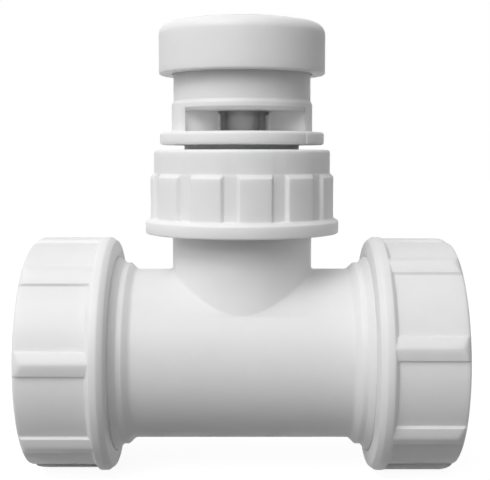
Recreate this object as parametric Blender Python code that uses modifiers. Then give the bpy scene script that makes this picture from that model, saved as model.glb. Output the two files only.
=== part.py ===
"""Air admittance valve held in the branch of a compression tee for 43 mm waste pipe.

The origin is where the run's axis meets the branch's axis. The run lies along X, the branch points up +Z,
and the view of the product's front looks along +Y. All lengths are in metres and all angles in degrees.
"""

import math

import bmesh
import bpy
from mathutils import Matrix

COLLECTION = "air_admittance_valve"
CUTTERS = "cutters"
WELD = 0.000005
REACH = 0.004  # how far a cutter runs past the surface that it cuts

# Facets round a full turn
LARGE_STEPS = 48
SMALL_STEPS = 32

# Clearances
FIT_GAP = 0.0003  # between two pieces that touch
SOCKET_PLAY = 0.0003  # between the waste pipe and its socket
NUT_EYE_PLAY = 0.0008  # between the waste pipe and what it passes through in a nut

# Run of the tee
PIPE_RADIUS = 0.0215
STOP_STEP = 0.0018  # height of the shoulder that stops the pipe
RUN_WALL = 0.0032
SHOULDER_STEP = 0.00175  # plain ring between the body and the thread
SHOULDER_LENGTH = 0.0017
SHOULDER_CONE = 0.0012
SKIRT_TO_SHOULDER = 0.0035  # plain run seen past the branch nut
STOP_PAST_CONE = 0.0004
RUN_THREAD_DEPTH = 0.00135
THREAD_SHOWN = 0.0013  # the last turn that the nut leaves uncovered
SOCKET_DEPTH = 0.0175
MOUTH_CHAMFER = 0.0008
GATE_RADIUS = 0.0012  # moulding gate under the run
GATE_HEIGHT = 0.0006

# Nuts of the run
NUT_WALL = 0.0038  # under a pocket's floor
RIB_HEIGHT = 0.0016
RIB_COUNT = 8
RIB_WIDTH = 0.0064
RIB_ROOF_ANGLE = 20.0
RIB_CREST_FLAT = 0.00005
RIM_WIDTH = 0.0011  # plain band at the inner end
POCKET_SLOPE = 0.0017  # length of the slope from the rim down to a pocket's floor
NUT_FACE_DOME = 0.0025  # how far the inner face bulges past its edge
NUT_EDGE_ROUND = 0.0034
NUT_END_WALL = 0.0021
LEFT_NUT_TURN = 6.1  # where a rib's crest stands, above the front
RIGHT_NUT_TURN = 13.1

# Seals of the run
SEAL_LENGTH = 0.0040
SEAL_NOSE = 0.0012
SLIP_WASHER_THICKNESS = 0.0014

# Branch of the tee
BRANCH_REDUCTION = 0.0055  # how much smaller the branch's bore is than the run's pipe
BRANCH_WALL = 0.00305
BRANCH_THREAD_DEPTH = 0.00185
BRANCH_THREAD_LIFT = 0.0033  # from the branch nut's lower edge up to its thread

# Nut of the branch
BRANCH_NUT_CLEAR = 0.0015  # its height over the run's nuts
BRANCH_NUT_WALL = 0.0028
BRANCH_NUT_HEIGHT = 0.0225
BRANCH_NUT_WEB = 0.0024
BRANCH_NUT_BAND = 0.0062  # plain band at its top
PAD_COUNT = 12
PAD_HEIGHT = 0.0010
PAD_SHARE = 0.61  # of the pitch from pad to pad
PAD_BEVEL = 0.0005
PAD_LEDGE = 0.0010
PADS_TURN = 7.2  # where a pad's middle stands, to the right of the front
SKIRT_STEP = 0.0014
SKIRT_HEIGHT = 0.0032
SKIRT_SLOPE = 0.0009
BRANCH_NUT_EDGE = 0.0008

# Rings on the valve's neck
BRANCH_WASHER_THICKNESS = 0.0015
COLLAR_THICKNESS = 0.0026
SPIGOT_PLAY = 0.0006  # between the neck and the branch's bore
SPIGOT_LENGTH = 0.0045  # below the branch's mouth
NECK_WALL = 0.0018
NECK_CORE_STEP = 0.0012  # how far the neck is thinner above the collar
LUG_HEIGHT = 0.0017
LUG_WIDTH_ANGLE = 43.0
LUG_FIRST_ANGLE = -70.0
LUG_COUNT = 3
LUG_PLAY = 0.0004
NECK_RIB_ANGLE = 4.0
NECK_RIB_WIDTH_ANGLE = 8.0
NECK_SHOWN = 0.0013  # between the nut and the valve's flange

# Valve body
HEAD_TURN = 5.4  # how far the valve is turned to the right of the front
FLANGE_INSET = 0.0002  # how far the flange stays behind the cap
FLANGE_THICKNESS = 0.0034
FLANGE_ROUND = 0.0008
DRUM_STEP = 0.0037  # how far the drum stands out past the neck
DRUM_HEIGHT = 0.0083
DRUM_FLOOR = 0.0017
CUP_STEP = 0.0005  # how far the cup above is slimmer than the drum
CUP_WALL = 0.0016
CUP_SHOWN = 0.0072  # between the drum and the cap
CUP_IN_CAP = 0.0051
WINDOW_SILL = 0.0001
WINDOW_HEIGHT = 0.0051
JAMB_DEPTH = 0.0033  # of the drum's wall beside a window
LINTEL_CHAMFER = 0.0014
DECK_THICKNESS = 0.0022
BRIDGE_HALF_DEPTH = 0.0060
BRIDGE_TAPER = 0.0002  # how far its faces lean in towards the throat
DUCT_WALL = 0.0014
DUCT_ROOF = 0.0013
DUCT_TAPER = 0.0001  # how much slimmer a duct is above its foot
THROAT_HALF_WIDTH = 0.0062
THROAT_ROUND = 0.0007
COLUMN_RADIUS = 0.0047
COLUMN_TOP_STEP = 0.0003  # how far the column is slimmer over the windows
COLUMN_RISE = 0.0015  # over the deck
WEB_HALF_THICKNESS = 0.0006
WEB_TAPER = 0.0001  # how much fuller the webs are over the windows
WEB_RISE = 0.0018
DUCT_ROOM = 0.0080  # from the air hole out to the cup's wall
AIR_HOLE_SINK = 0.0009
SEAT_WALL = 0.0016
SEAT_HEIGHT = 0.0040
SEAT_ROUND = 0.0004
DUCT_FROM_SEAT = 0.0013
BEAD_HEIGHT = 0.0011
BEAD_WIDTH = 0.0005
BEAD_FROM_RIM = 0.0023

# Membrane and its guide
MEMBRANE_OVERLAP = 0.0020  # past the seat
MEMBRANE_THICKNESS = 0.0009
MEMBRANE_LIFT = 0.0040
STEM_RADIUS = 0.0018
STEM_LENGTH = 0.0110  # below the plate
STEM_END_ROOM = 0.0010
GUIDE_PIN_RADIUS = 0.0015
GUIDE_PIN_HEIGHT = 0.0045
PLATE_THICKNESS = 0.0010
PLATE_INSET = 0.0004  # from the seat's outer edge
PLATE_HOLE_COUNT = 6
PLATE_HOLE_RADIUS = 0.0015
RETAINER_WALL = 0.0023
RETAINER_THICKNESS = 0.0008

# Cap
CAP_WALL = 0.0022
CAP_BEAD_ROOM = 0.0006
CAP_SIDE_HEIGHT = 0.0104
CAP_TOP_ROUND = 0.0032
CAP_EDGE_ROUND = 0.0006
CAP_CROWN = 0.00195  # rise of the dome over its rounded edge
CAP_LIP_PLAY = 0.0004
CAP_RIB_WALL = 0.0011
CAP_BOSS_WALL = 0.0014

# Radii that follow along the run
SOCKET_RADIUS = PIPE_RADIUS + SOCKET_PLAY
RUN_BORE_RADIUS = SOCKET_RADIUS - STOP_STEP
RUN_RADIUS = RUN_BORE_RADIUS + RUN_WALL
SHOULDER_RADIUS = RUN_RADIUS + SHOULDER_STEP
RUN_THREAD_RADIUS = SHOULDER_RADIUS + RUN_THREAD_DEPTH
NUT_BORE_RADIUS = RUN_THREAD_RADIUS + FIT_GAP
POCKET_RADIUS = NUT_BORE_RADIUS + NUT_WALL
NUT_RADIUS = POCKET_RADIUS + RIB_HEIGHT
NUT_EYE_RADIUS = PIPE_RADIUS + NUT_EYE_PLAY
SEAL_EYE_RADIUS = SOCKET_RADIUS + FIT_GAP

# Radii that follow round the branch
BRANCH_BORE_RADIUS = PIPE_RADIUS - BRANCH_REDUCTION
BRANCH_RADIUS = BRANCH_BORE_RADIUS + BRANCH_WALL
BRANCH_THREAD_RADIUS = BRANCH_RADIUS + BRANCH_THREAD_DEPTH
BRANCH_NUT_BORE = BRANCH_THREAD_RADIUS + FIT_GAP
BAND_RADIUS = BRANCH_NUT_BORE + BRANCH_NUT_WALL
PAD_WIDTH = 2 * BAND_RADIUS * math.sin(math.pi / PAD_COUNT) * PAD_SHARE
PAD_RADIUS = BAND_RADIUS + PAD_HEIGHT
SKIRT_RADIUS = PAD_RADIUS + SKIRT_STEP
SPIGOT_RADIUS = BRANCH_BORE_RADIUS - SPIGOT_PLAY
NECK_CORE_RADIUS = SPIGOT_RADIUS - NECK_CORE_STEP
NECK_BORE_RADIUS = NECK_CORE_RADIUS - NECK_WALL
LUG_RADIUS = NECK_CORE_RADIUS + LUG_HEIGHT
BRANCH_NUT_EYE = LUG_RADIUS + LUG_PLAY

# Places along the run, from the middle outwards
BODY_END = SKIRT_RADIUS + SKIRT_TO_SHOULDER
SHOULDER_START = BODY_END + SHOULDER_CONE
THREAD_START = SHOULDER_START + SHOULDER_LENGTH
PIPE_STOP = SHOULDER_START + STOP_PAST_CONE
RUN_MOUTH = PIPE_STOP + SOCKET_DEPTH
SEAL_START = RUN_MOUTH + FIT_GAP
SEAL_END = SEAL_START + SEAL_LENGTH
SLIP_START = SEAL_END + FIT_GAP
SLIP_END = SLIP_START + SLIP_WASHER_THICKNESS
NUT_START = THREAD_START + THREAD_SHOWN
NUT_WALL_START = SLIP_END + FIT_GAP
NUT_END = NUT_WALL_START + NUT_END_WALL

# Heights up the branch
BRANCH_NUT_LOW = NUT_RADIUS + BRANCH_NUT_CLEAR
BRANCH_NUT_TOP = BRANCH_NUT_LOW + BRANCH_NUT_HEIGHT
COLLAR_TOP = BRANCH_NUT_TOP - BRANCH_NUT_WEB - FIT_GAP
COLLAR_LOW = COLLAR_TOP - COLLAR_THICKNESS
BRANCH_WASHER_TOP = COLLAR_LOW - FIT_GAP
BRANCH_WASHER_LOW = BRANCH_WASHER_TOP - BRANCH_WASHER_THICKNESS
BRANCH_MOUTH = BRANCH_WASHER_LOW - FIT_GAP
BRANCH_THREAD_LOW = BRANCH_NUT_LOW + BRANCH_THREAD_LIFT
SPIGOT_LOW = BRANCH_MOUTH - SPIGOT_LENGTH
FLANGE_LOW = BRANCH_NUT_TOP + NECK_SHOWN
FLANGE_TOP = FLANGE_LOW + FLANGE_THICKNESS
NECK_BORE_TOP = FLANGE_TOP - DRUM_FLOOR
WINDOW_LOW = FLANGE_TOP + WINDOW_SILL
WINDOW_TOP = WINDOW_LOW + WINDOW_HEIGHT
DRUM_TOP = FLANGE_TOP + DRUM_HEIGHT
DECK_TOP = WINDOW_TOP + DECK_THICKNESS
COLUMN_TOP = DECK_TOP + COLUMN_RISE
SEAT_TOP = DECK_TOP + SEAT_HEIGHT
CAP_LOW = DRUM_TOP + CUP_SHOWN
CUP_TOP = CAP_LOW + CUP_IN_CAP
MEMBRANE_LOW = SEAT_TOP + FIT_GAP
MEMBRANE_TOP = MEMBRANE_LOW + MEMBRANE_THICKNESS
PLATE_LOW = MEMBRANE_TOP + FIT_GAP
PLATE_TOP = PLATE_LOW + PLATE_THICKNESS
STEM_LOW = PLATE_LOW - STEM_LENGTH
RETAINER_TOP = MEMBRANE_LOW - FIT_GAP

# Radii inside the valve
DRUM_RADIUS = SPIGOT_RADIUS + DRUM_STEP
WINDOW_HALF_WIDTH = DRUM_RADIUS - JAMB_DEPTH
CUP_RADIUS = DRUM_RADIUS - CUP_STEP
CUP_BORE_RADIUS = CUP_RADIUS - CUP_WALL
AIR_HOLE_RADIUS = CUP_BORE_RADIUS - DUCT_ROOM
SEAT_RADIUS = AIR_HOLE_RADIUS + SEAT_WALL
DUCT_RADIUS = SEAT_RADIUS + DUCT_FROM_SEAT
BEAD_RADIUS = CUP_RADIUS + BEAD_HEIGHT
STEM_BORE_RADIUS = STEM_RADIUS + FIT_GAP
MEMBRANE_RADIUS = SEAT_RADIUS + MEMBRANE_OVERLAP
CAP_BORE_RADIUS = BEAD_RADIUS + CAP_BEAD_ROOM
CAP_RADIUS = CAP_BORE_RADIUS + CAP_WALL
FLANGE_RADIUS = CAP_RADIUS - FLANGE_INSET
CAP_LIP_RADIUS = CUP_RADIUS + CAP_LIP_PLAY
CAP_BOSS_BORE = GUIDE_PIN_RADIUS + FIT_GAP

WHITE = {"colour": (0.86, 0.86, 0.85, 1.0), "roughness": 0.38}
NATURAL = {"colour": (0.80, 0.80, 0.78, 1.0), "roughness": 0.45}
BLACK_RUBBER = {"colour": (0.03, 0.03, 0.03, 1.0), "roughness": 0.75}
GREY_RUBBER = {"colour": (0.16, 0.16, 0.17, 1.0), "roughness": 0.70}


def empty_the_scene():
    """Removes what a new file holds, and makes the two collections."""
    for thing in list(bpy.data.objects):
        bpy.data.objects.remove(thing, do_unlink=True)
    for name in (COLLECTION, CUTTERS):
        bpy.context.scene.collection.children.link(bpy.data.collections.new(name))


def material(name, finish):
    """A plain plastic or rubber material."""
    made = bpy.data.materials.new(name)
    made.use_nodes = True
    shader = made.node_tree.nodes["Principled BSDF"]
    shader.inputs["Base Color"].default_value = finish["colour"]
    shader.inputs["Roughness"].default_value = finish["roughness"]
    shader.inputs["Metallic"].default_value = 0.0
    made.diffuse_color = finish["colour"]
    return made


def link(name, mesh, as_cutter):
    """An object for a mesh, among the parts or among the cutters."""
    thing = bpy.data.objects.new(name, mesh)
    bpy.data.collections[CUTTERS if as_cutter else COLLECTION].objects.link(thing)
    if as_cutter:
        thing.hide_render = True
        thing.display_type = "WIRE"
    return thing


def arc(centre, radius, start, end, count):
    """Points on a round stretch of a profile, from one angle to the other."""
    angles = [math.radians(start + (end - start) * i / count) for i in range(count + 1)]
    return [(centre[0] + radius * math.cos(a), centre[1] + radius * math.sin(a)) for a in angles]


def turned(name, profile, steps=LARGE_STEPS, ring=True, as_cutter=False):
    """A profile of (radius, height) points turned round Z.

    A ring's profile closes on itself, and any other starts and ends on the axis.
    """
    mesh = bpy.data.meshes.new(name)
    edges = [(i, i + 1) for i in range(len(profile) - 1)]
    if ring:
        edges.append((len(profile) - 1, 0))
    mesh.from_pydata([(radius, 0.0, height) for radius, height in profile], edges, [])
    thing = link(name, mesh, as_cutter)
    screw = thing.modifiers.new("turn", "SCREW")
    screw.axis = "Z"
    screw.angle = math.tau
    screw.steps = steps
    screw.render_steps = steps
    screw.use_merge_vertices = True
    screw.merge_threshold = WELD
    return thing


def as_mesh(thing):
    """Replaces a curve with its mesh, its caps welded to its sides."""
    bpy.context.view_layer.update()
    evaluated = thing.evaluated_get(bpy.context.evaluated_depsgraph_get())
    mesh = bpy.data.meshes.new_from_object(evaluated)
    work = bmesh.new()
    work.from_mesh(mesh)
    bmesh.ops.remove_doubles(work, verts=work.verts, dist=WELD)
    bmesh.ops.recalc_face_normals(work, faces=work.faces)
    work.to_mesh(mesh)
    work.free()
    return mesh


def outline_prism(name, outlines, low, high):
    """A cutter with the given flat outlines, each a list of (x, y) points, between two heights."""
    curve = bpy.data.curves.new(name, "CURVE")
    curve.dimensions = "2D"
    curve.fill_mode = "BOTH"
    curve.extrude = (high - low) / 2
    for outline in outlines:
        spline = curve.splines.new("POLY")
        spline.points.add(len(outline) - 1)
        for point, (x, y) in zip(spline.points, outline):
            point.co = (x, y, 0.0, 1.0)
        spline.use_cyclic_u = True
    flat = bpy.data.objects.new(name + "_outline", curve)
    bpy.data.collections[CUTTERS].objects.link(flat)
    mesh = as_mesh(flat)
    bpy.data.objects.remove(flat, do_unlink=True)
    mesh.transform(Matrix.Translation((0.0, 0.0, (low + high) / 2)))
    return link(name, mesh, True)


def box(name, low, high):
    """A block cutter between two corners."""
    work = bmesh.new()
    bmesh.ops.create_cube(work, size=1.0)
    size = [high[i] - low[i] for i in range(3)]
    middle = [(high[i] + low[i]) / 2 for i in range(3)]
    bmesh.ops.transform(work, matrix=Matrix.Diagonal((*size, 1.0)), verts=work.verts)
    bmesh.ops.translate(work, vec=middle, verts=work.verts)
    mesh = bpy.data.meshes.new(name)
    work.to_mesh(mesh)
    work.free()
    return link(name, mesh, True)


def combine(thing, other, operation):
    """Cuts a shape from another, joins the two, or keeps what they share."""
    change = thing.modifiers.new(other.name, "BOOLEAN")
    change.operation = operation
    change.solver = "EXACT"
    change.object = other


def turned_outline(outline, angle):
    """A flat outline turned round the axis."""
    c, s = math.cos(math.radians(angle)), math.sin(math.radians(angle))
    return [(x * c - y * s, x * s + y * c) for x, y in outline]


def ring_sector(inner, outer, middle_angle, width_angle, count=6):
    """The outline of part of a flat ring, round the given angle from +X."""
    start, end = middle_angle - width_angle / 2, middle_angle + width_angle / 2
    return arc((0, 0), outer, start, end, count) + arc((0, 0), inner, end, start, count)


def finish(thing, paint):
    """Fixes a part's shape, welds it, shades its round faces smooth and gives it its material."""
    bpy.context.view_layer.update()
    evaluated = thing.evaluated_get(bpy.context.evaluated_depsgraph_get())
    mesh = bpy.data.meshes.new_from_object(evaluated)
    work = bmesh.new()
    work.from_mesh(mesh)
    bmesh.ops.remove_doubles(work, verts=work.verts, dist=WELD)
    bmesh.ops.dissolve_degenerate(work, edges=work.edges, dist=WELD)
    work.to_mesh(mesh)
    work.free()
    thing.modifiers.clear()
    thing.data = mesh
    mesh.materials.clear()
    mesh.materials.append(paint)
    mesh.shade_smooth()
    mesh.set_sharp_from_angle(angle=math.radians(32.0))
    return thing


def make_tee(paint):
    """The run and the branch with their bores, one moulding with its gate under it."""
    half = [
        (RUN_THREAD_RADIUS - MOUTH_CHAMFER, RUN_MOUTH),
        (RUN_THREAD_RADIUS, RUN_MOUTH - MOUTH_CHAMFER),
        (RUN_THREAD_RADIUS, THREAD_START + RUN_THREAD_DEPTH / 2),
        (SHOULDER_RADIUS, THREAD_START),
        (SHOULDER_RADIUS, SHOULDER_START + SHOULDER_STEP / 4),
        (SHOULDER_RADIUS - SHOULDER_STEP / 4, SHOULDER_START),
        (RUN_RADIUS, BODY_END),
    ]
    outside = half + [(radius, -x) for radius, x in reversed(half)]
    tee = turned("tee_body", [(0.0, RUN_MOUTH)] + outside + [(0.0, -RUN_MOUTH)], ring=False)
    branch = turned(
        "branch_outside",
        [
            (0.0, BRANCH_MOUTH),
            (BRANCH_THREAD_RADIUS - MOUTH_CHAMFER, BRANCH_MOUTH),
            (BRANCH_THREAD_RADIUS, BRANCH_MOUTH - MOUTH_CHAMFER),
            (BRANCH_THREAD_RADIUS, BRANCH_THREAD_LOW + BRANCH_THREAD_DEPTH),
            (BRANCH_RADIUS, BRANCH_THREAD_LOW),
            (BRANCH_RADIUS, 0.0),
            (0.0, 0.0),
        ],
        ring=False,
        as_cutter=True,
    )
    half_bore = [
        (SOCKET_RADIUS + MOUTH_CHAMFER, RUN_MOUTH + REACH),
        (SOCKET_RADIUS + MOUTH_CHAMFER, RUN_MOUTH),
        (SOCKET_RADIUS, RUN_MOUTH - MOUTH_CHAMFER),
        (SOCKET_RADIUS, PIPE_STOP),
        (RUN_BORE_RADIUS, PIPE_STOP),
    ]
    bore = half_bore + [(radius, -x) for radius, x in reversed(half_bore)]
    ends = [(0.0, RUN_MOUTH + REACH)], [(0.0, -RUN_MOUTH - REACH)]
    run_bore = turned("run_bore", ends[0] + bore + ends[1], ring=False, as_cutter=True)
    branch_bore = turned(
        "branch_bore",
        [
            (0.0, BRANCH_MOUTH + REACH),
            (BRANCH_BORE_RADIUS, BRANCH_MOUTH + REACH),
            (BRANCH_BORE_RADIUS, 0.0),
            (0.0, 0.0),
        ],
        ring=False,
        as_cutter=True,
    )
    gate = turned(
        "gate",
        [
            (0.0, RUN_WALL / 2),
            (GATE_RADIUS, RUN_WALL / 2),
            (GATE_RADIUS, -GATE_HEIGHT * 0.6),
            (GATE_RADIUS * 0.6, -GATE_HEIGHT),
            (0.0, -GATE_HEIGHT),
        ],
        steps=12,
        ring=False,
        as_cutter=True,
    )
    gate.location = (0.0, 0.0, -RUN_RADIUS)
    along_run = Matrix.Rotation(math.radians(90.0), 4, "Y")
    tee.matrix_world = along_run
    run_bore.matrix_world = along_run
    combine(tee, branch, "UNION")
    combine(tee, run_bore, "DIFFERENCE")
    combine(tee, branch_bore, "DIFFERENCE")
    combine(tee, gate, "UNION")
    return finish(tee, paint)


def end_placement(side, turn=0.0):
    """Where a piece goes whose own Z points out of the run's left (-1) or right (+1) end."""
    clock = -90.0 - turn if side > 0 else turn - 90.0
    lie = Matrix.Rotation(math.radians(90.0 * side), 4, "Y")
    return lie @ Matrix.Rotation(math.radians(clock), 4, "Z")


def make_run_nut(name, side, turn, paint):
    """A compression nut: a turned ring, with pockets cut down to leave roof-shaped ribs between them."""
    edge_centre = (NUT_RADIUS - NUT_EDGE_ROUND, NUT_END - NUT_EDGE_ROUND)
    nut = turned(
        name,
        [(NUT_EYE_RADIUS, NUT_END)]
        + arc(edge_centre, NUT_EDGE_ROUND, 90.0, 0.0, 4)
        + [
            (NUT_RADIUS, NUT_START + NUT_FACE_DOME),
            (NUT_RADIUS - NUT_FACE_DOME * 0.24, NUT_START + NUT_FACE_DOME * 0.5),
            (NUT_RADIUS - NUT_FACE_DOME * 0.9, NUT_START + NUT_FACE_DOME * 0.134),
            (NUT_RADIUS - NUT_FACE_DOME * 1.8, NUT_START),
            (NUT_BORE_RADIUS, NUT_START),
            (NUT_BORE_RADIUS, NUT_WALL_START),
            (NUT_EYE_RADIUS, NUT_WALL_START),
        ],
    )
    pocket_start = NUT_START + NUT_FACE_DOME + RIM_WIDTH
    outside = NUT_RADIUS + REACH
    slope = RIB_HEIGHT / POCKET_SLOPE
    pockets = turned(
        name + "_pockets",
        [
            (outside, NUT_END + REACH),
            (outside, pocket_start - REACH / slope),
            (POCKET_RADIUS, pocket_start + POCKET_SLOPE),
            (POCKET_RADIUS, NUT_END + REACH),
        ],
        as_cutter=True,
    )
    crest = NUT_RADIUS + RIB_CREST_FLAT
    shoulder = crest - RIB_WIDTH / 2 * math.tan(math.radians(RIB_ROOF_ANGLE))
    rib = [
        (POCKET_RADIUS - NUT_WALL / 2, -RIB_WIDTH / 2),
        (shoulder, -RIB_WIDTH / 2),
        (crest, 0.0),
        (shoulder, RIB_WIDTH / 2),
        (POCKET_RADIUS - NUT_WALL / 2, RIB_WIDTH / 2),
    ]
    ribs = outline_prism(
        name + "_ribs",
        [turned_outline(rib, 360.0 * i / RIB_COUNT) for i in range(RIB_COUNT)],
        pocket_start - RIM_WIDTH,
        NUT_END + 2 * REACH,
    )
    place = end_placement(side, turn)
    for thing in (nut, pockets, ribs):
        thing.matrix_world = place
    combine(pockets, ribs, "DIFFERENCE")
    combine(nut, pockets, "DIFFERENCE")
    return finish(nut, paint)


def make_run_seal(name, side, paint):
    """The rubber ring that grips the pipe, with a nose that enters the socket's mouth."""
    outer = NUT_BORE_RADIUS - FIT_GAP
    mouth_edge = SOCKET_RADIUS + MOUTH_CHAMFER
    seal = turned(
        name,
        [
            (SEAL_EYE_RADIUS, SEAL_END),
            (outer, SEAL_END),
            (outer, SEAL_START + SEAL_NOSE),
            (outer - SEAL_NOSE, SEAL_START),
            (mouth_edge, SEAL_START),
            (SEAL_EYE_RADIUS, SEAL_START - MOUTH_CHAMFER / 2),
        ],
    )
    seal.matrix_world = end_placement(side)
    return finish(seal, paint)


def make_slip_washer(name, side, paint):
    """The plain ring that lets the nut turn on the rubber."""
    outer = NUT_BORE_RADIUS - FIT_GAP
    washer = turned(
        name,
        [
            (NUT_EYE_RADIUS, SLIP_END),
            (outer - SLIP_WASHER_THICKNESS / 3, SLIP_END),
            (outer, SLIP_END - SLIP_WASHER_THICKNESS / 3),
            (outer, SLIP_START),
            (NUT_EYE_RADIUS, SLIP_START),
        ],
    )
    washer.matrix_world = end_placement(side)
    return finish(washer, paint)


def make_branch_nut(paint):
    """The nut on the branch: a plain band over twelve raised pads that stand on a skirt."""
    pad_top = BRANCH_NUT_TOP - BRANCH_NUT_BAND - PAD_LEDGE
    skirt_top = BRANCH_NUT_LOW + SKIRT_HEIGHT
    edge_centre = (BAND_RADIUS - BRANCH_NUT_EDGE, BRANCH_NUT_TOP - BRANCH_NUT_EDGE)
    web_low = BRANCH_NUT_TOP - BRANCH_NUT_WEB
    nut = turned(
        "branch_nut",
        [(BRANCH_NUT_EYE, BRANCH_NUT_TOP)]
        + arc(edge_centre, BRANCH_NUT_EDGE, 90.0, 0.0, 2)
        + [
            (BAND_RADIUS, pad_top + PAD_LEDGE),
            (PAD_RADIUS, pad_top),
            (PAD_RADIUS, skirt_top + SKIRT_SLOPE),
            (SKIRT_RADIUS, skirt_top),
            (SKIRT_RADIUS, BRANCH_NUT_LOW + BRANCH_NUT_EDGE / 2),
            (SKIRT_RADIUS - BRANCH_NUT_EDGE / 2, BRANCH_NUT_LOW),
            (BRANCH_NUT_BORE, BRANCH_NUT_LOW),
            (BRANCH_NUT_BORE, web_low),
            (BRANCH_NUT_EYE, web_low),
        ],
    )
    floor = BAND_RADIUS + PAD_HEIGHT * 0.04
    outside = SKIRT_RADIUS + REACH
    channels = turned(
        "branch_nut_channels",
        [
            (outside, BRANCH_NUT_TOP),
            (outside, skirt_top + SKIRT_SLOPE * 1.6),
            (floor, skirt_top + SKIRT_SLOPE * 1.8),
            (floor, BRANCH_NUT_TOP),
        ],
        as_cutter=True,
    )
    pad = [
        (BAND_RADIUS - PAD_HEIGHT / 2, -PAD_WIDTH / 2 - PAD_BEVEL),
        (floor, -PAD_WIDTH / 2 - PAD_BEVEL),
        (PAD_RADIUS, -PAD_WIDTH / 2),
        (outside + REACH, -PAD_WIDTH / 2),
        (outside + REACH, PAD_WIDTH / 2),
        (PAD_RADIUS, PAD_WIDTH / 2),
        (floor, PAD_WIDTH / 2 + PAD_BEVEL),
        (BAND_RADIUS - PAD_HEIGHT / 2, PAD_WIDTH / 2 + PAD_BEVEL),
    ]
    first = PADS_TURN - 90.0
    pads = outline_prism(
        "branch_nut_pads",
        [turned_outline(pad, first + 360.0 * i / PAD_COUNT) for i in range(PAD_COUNT)],
        skirt_top - SKIRT_SLOPE,
        BRANCH_NUT_TOP + REACH,
    )
    combine(channels, pads, "DIFFERENCE")
    combine(nut, channels, "DIFFERENCE")
    return finish(nut, paint)


def make_branch_washer(paint):
    """The flat rubber washer between the branch's mouth and the collar."""
    outer = BRANCH_RADIUS + BRANCH_THREAD_DEPTH * 0.3
    inner = SPIGOT_RADIUS + FIT_GAP
    washer = turned(
        "branch_washer",
        [
            (inner, BRANCH_WASHER_TOP),
            (outer, BRANCH_WASHER_TOP),
            (outer, BRANCH_WASHER_LOW),
            (inner, BRANCH_WASHER_LOW),
        ],
        steps=LARGE_STEPS,
    )
    return finish(washer, paint)


def make_clamp_collar(paint):
    """The collar on the valve's neck, under the branch nut's web and against the neck's lugs."""
    outer = BRANCH_NUT_BORE - FIT_GAP
    inner = SPIGOT_RADIUS + FIT_GAP
    edge = COLLAR_THICKNESS / 4
    collar = turned(
        "clamp_collar",
        [
            (inner, COLLAR_TOP),
            (outer - edge, COLLAR_TOP),
            (outer, COLLAR_TOP - edge),
            (outer, COLLAR_LOW),
            (inner, COLLAR_LOW),
        ],
        steps=LARGE_STEPS,
    )
    return finish(collar, paint)


def pocket_outline():
    """The plan of one window's air space: straight cheeks, then the throat round the guide column."""
    outside = FLANGE_RADIUS + REACH
    column_angle = math.degrees(math.asin(WEB_HALF_THICKNESS / COLUMN_RADIUS))
    corner = (THROAT_HALF_WIDTH + THROAT_ROUND, -BRIDGE_HALF_DEPTH + THROAT_ROUND)
    right = [
        (WINDOW_HALF_WIDTH, -outside),
        (WINDOW_HALF_WIDTH, -BRIDGE_HALF_DEPTH - BRIDGE_TAPER),
        *arc(corner, THROAT_ROUND, 270.0, 180.0, 3),
        (THROAT_HALF_WIDTH, -WEB_HALF_THICKNESS),
    ]
    front_of_column = arc((0, 0), COLUMN_RADIUS, -column_angle, -180.0 + column_angle, 12)
    left = [(-x, y) for x, y in reversed(right)]
    return right + front_of_column + left


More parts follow.
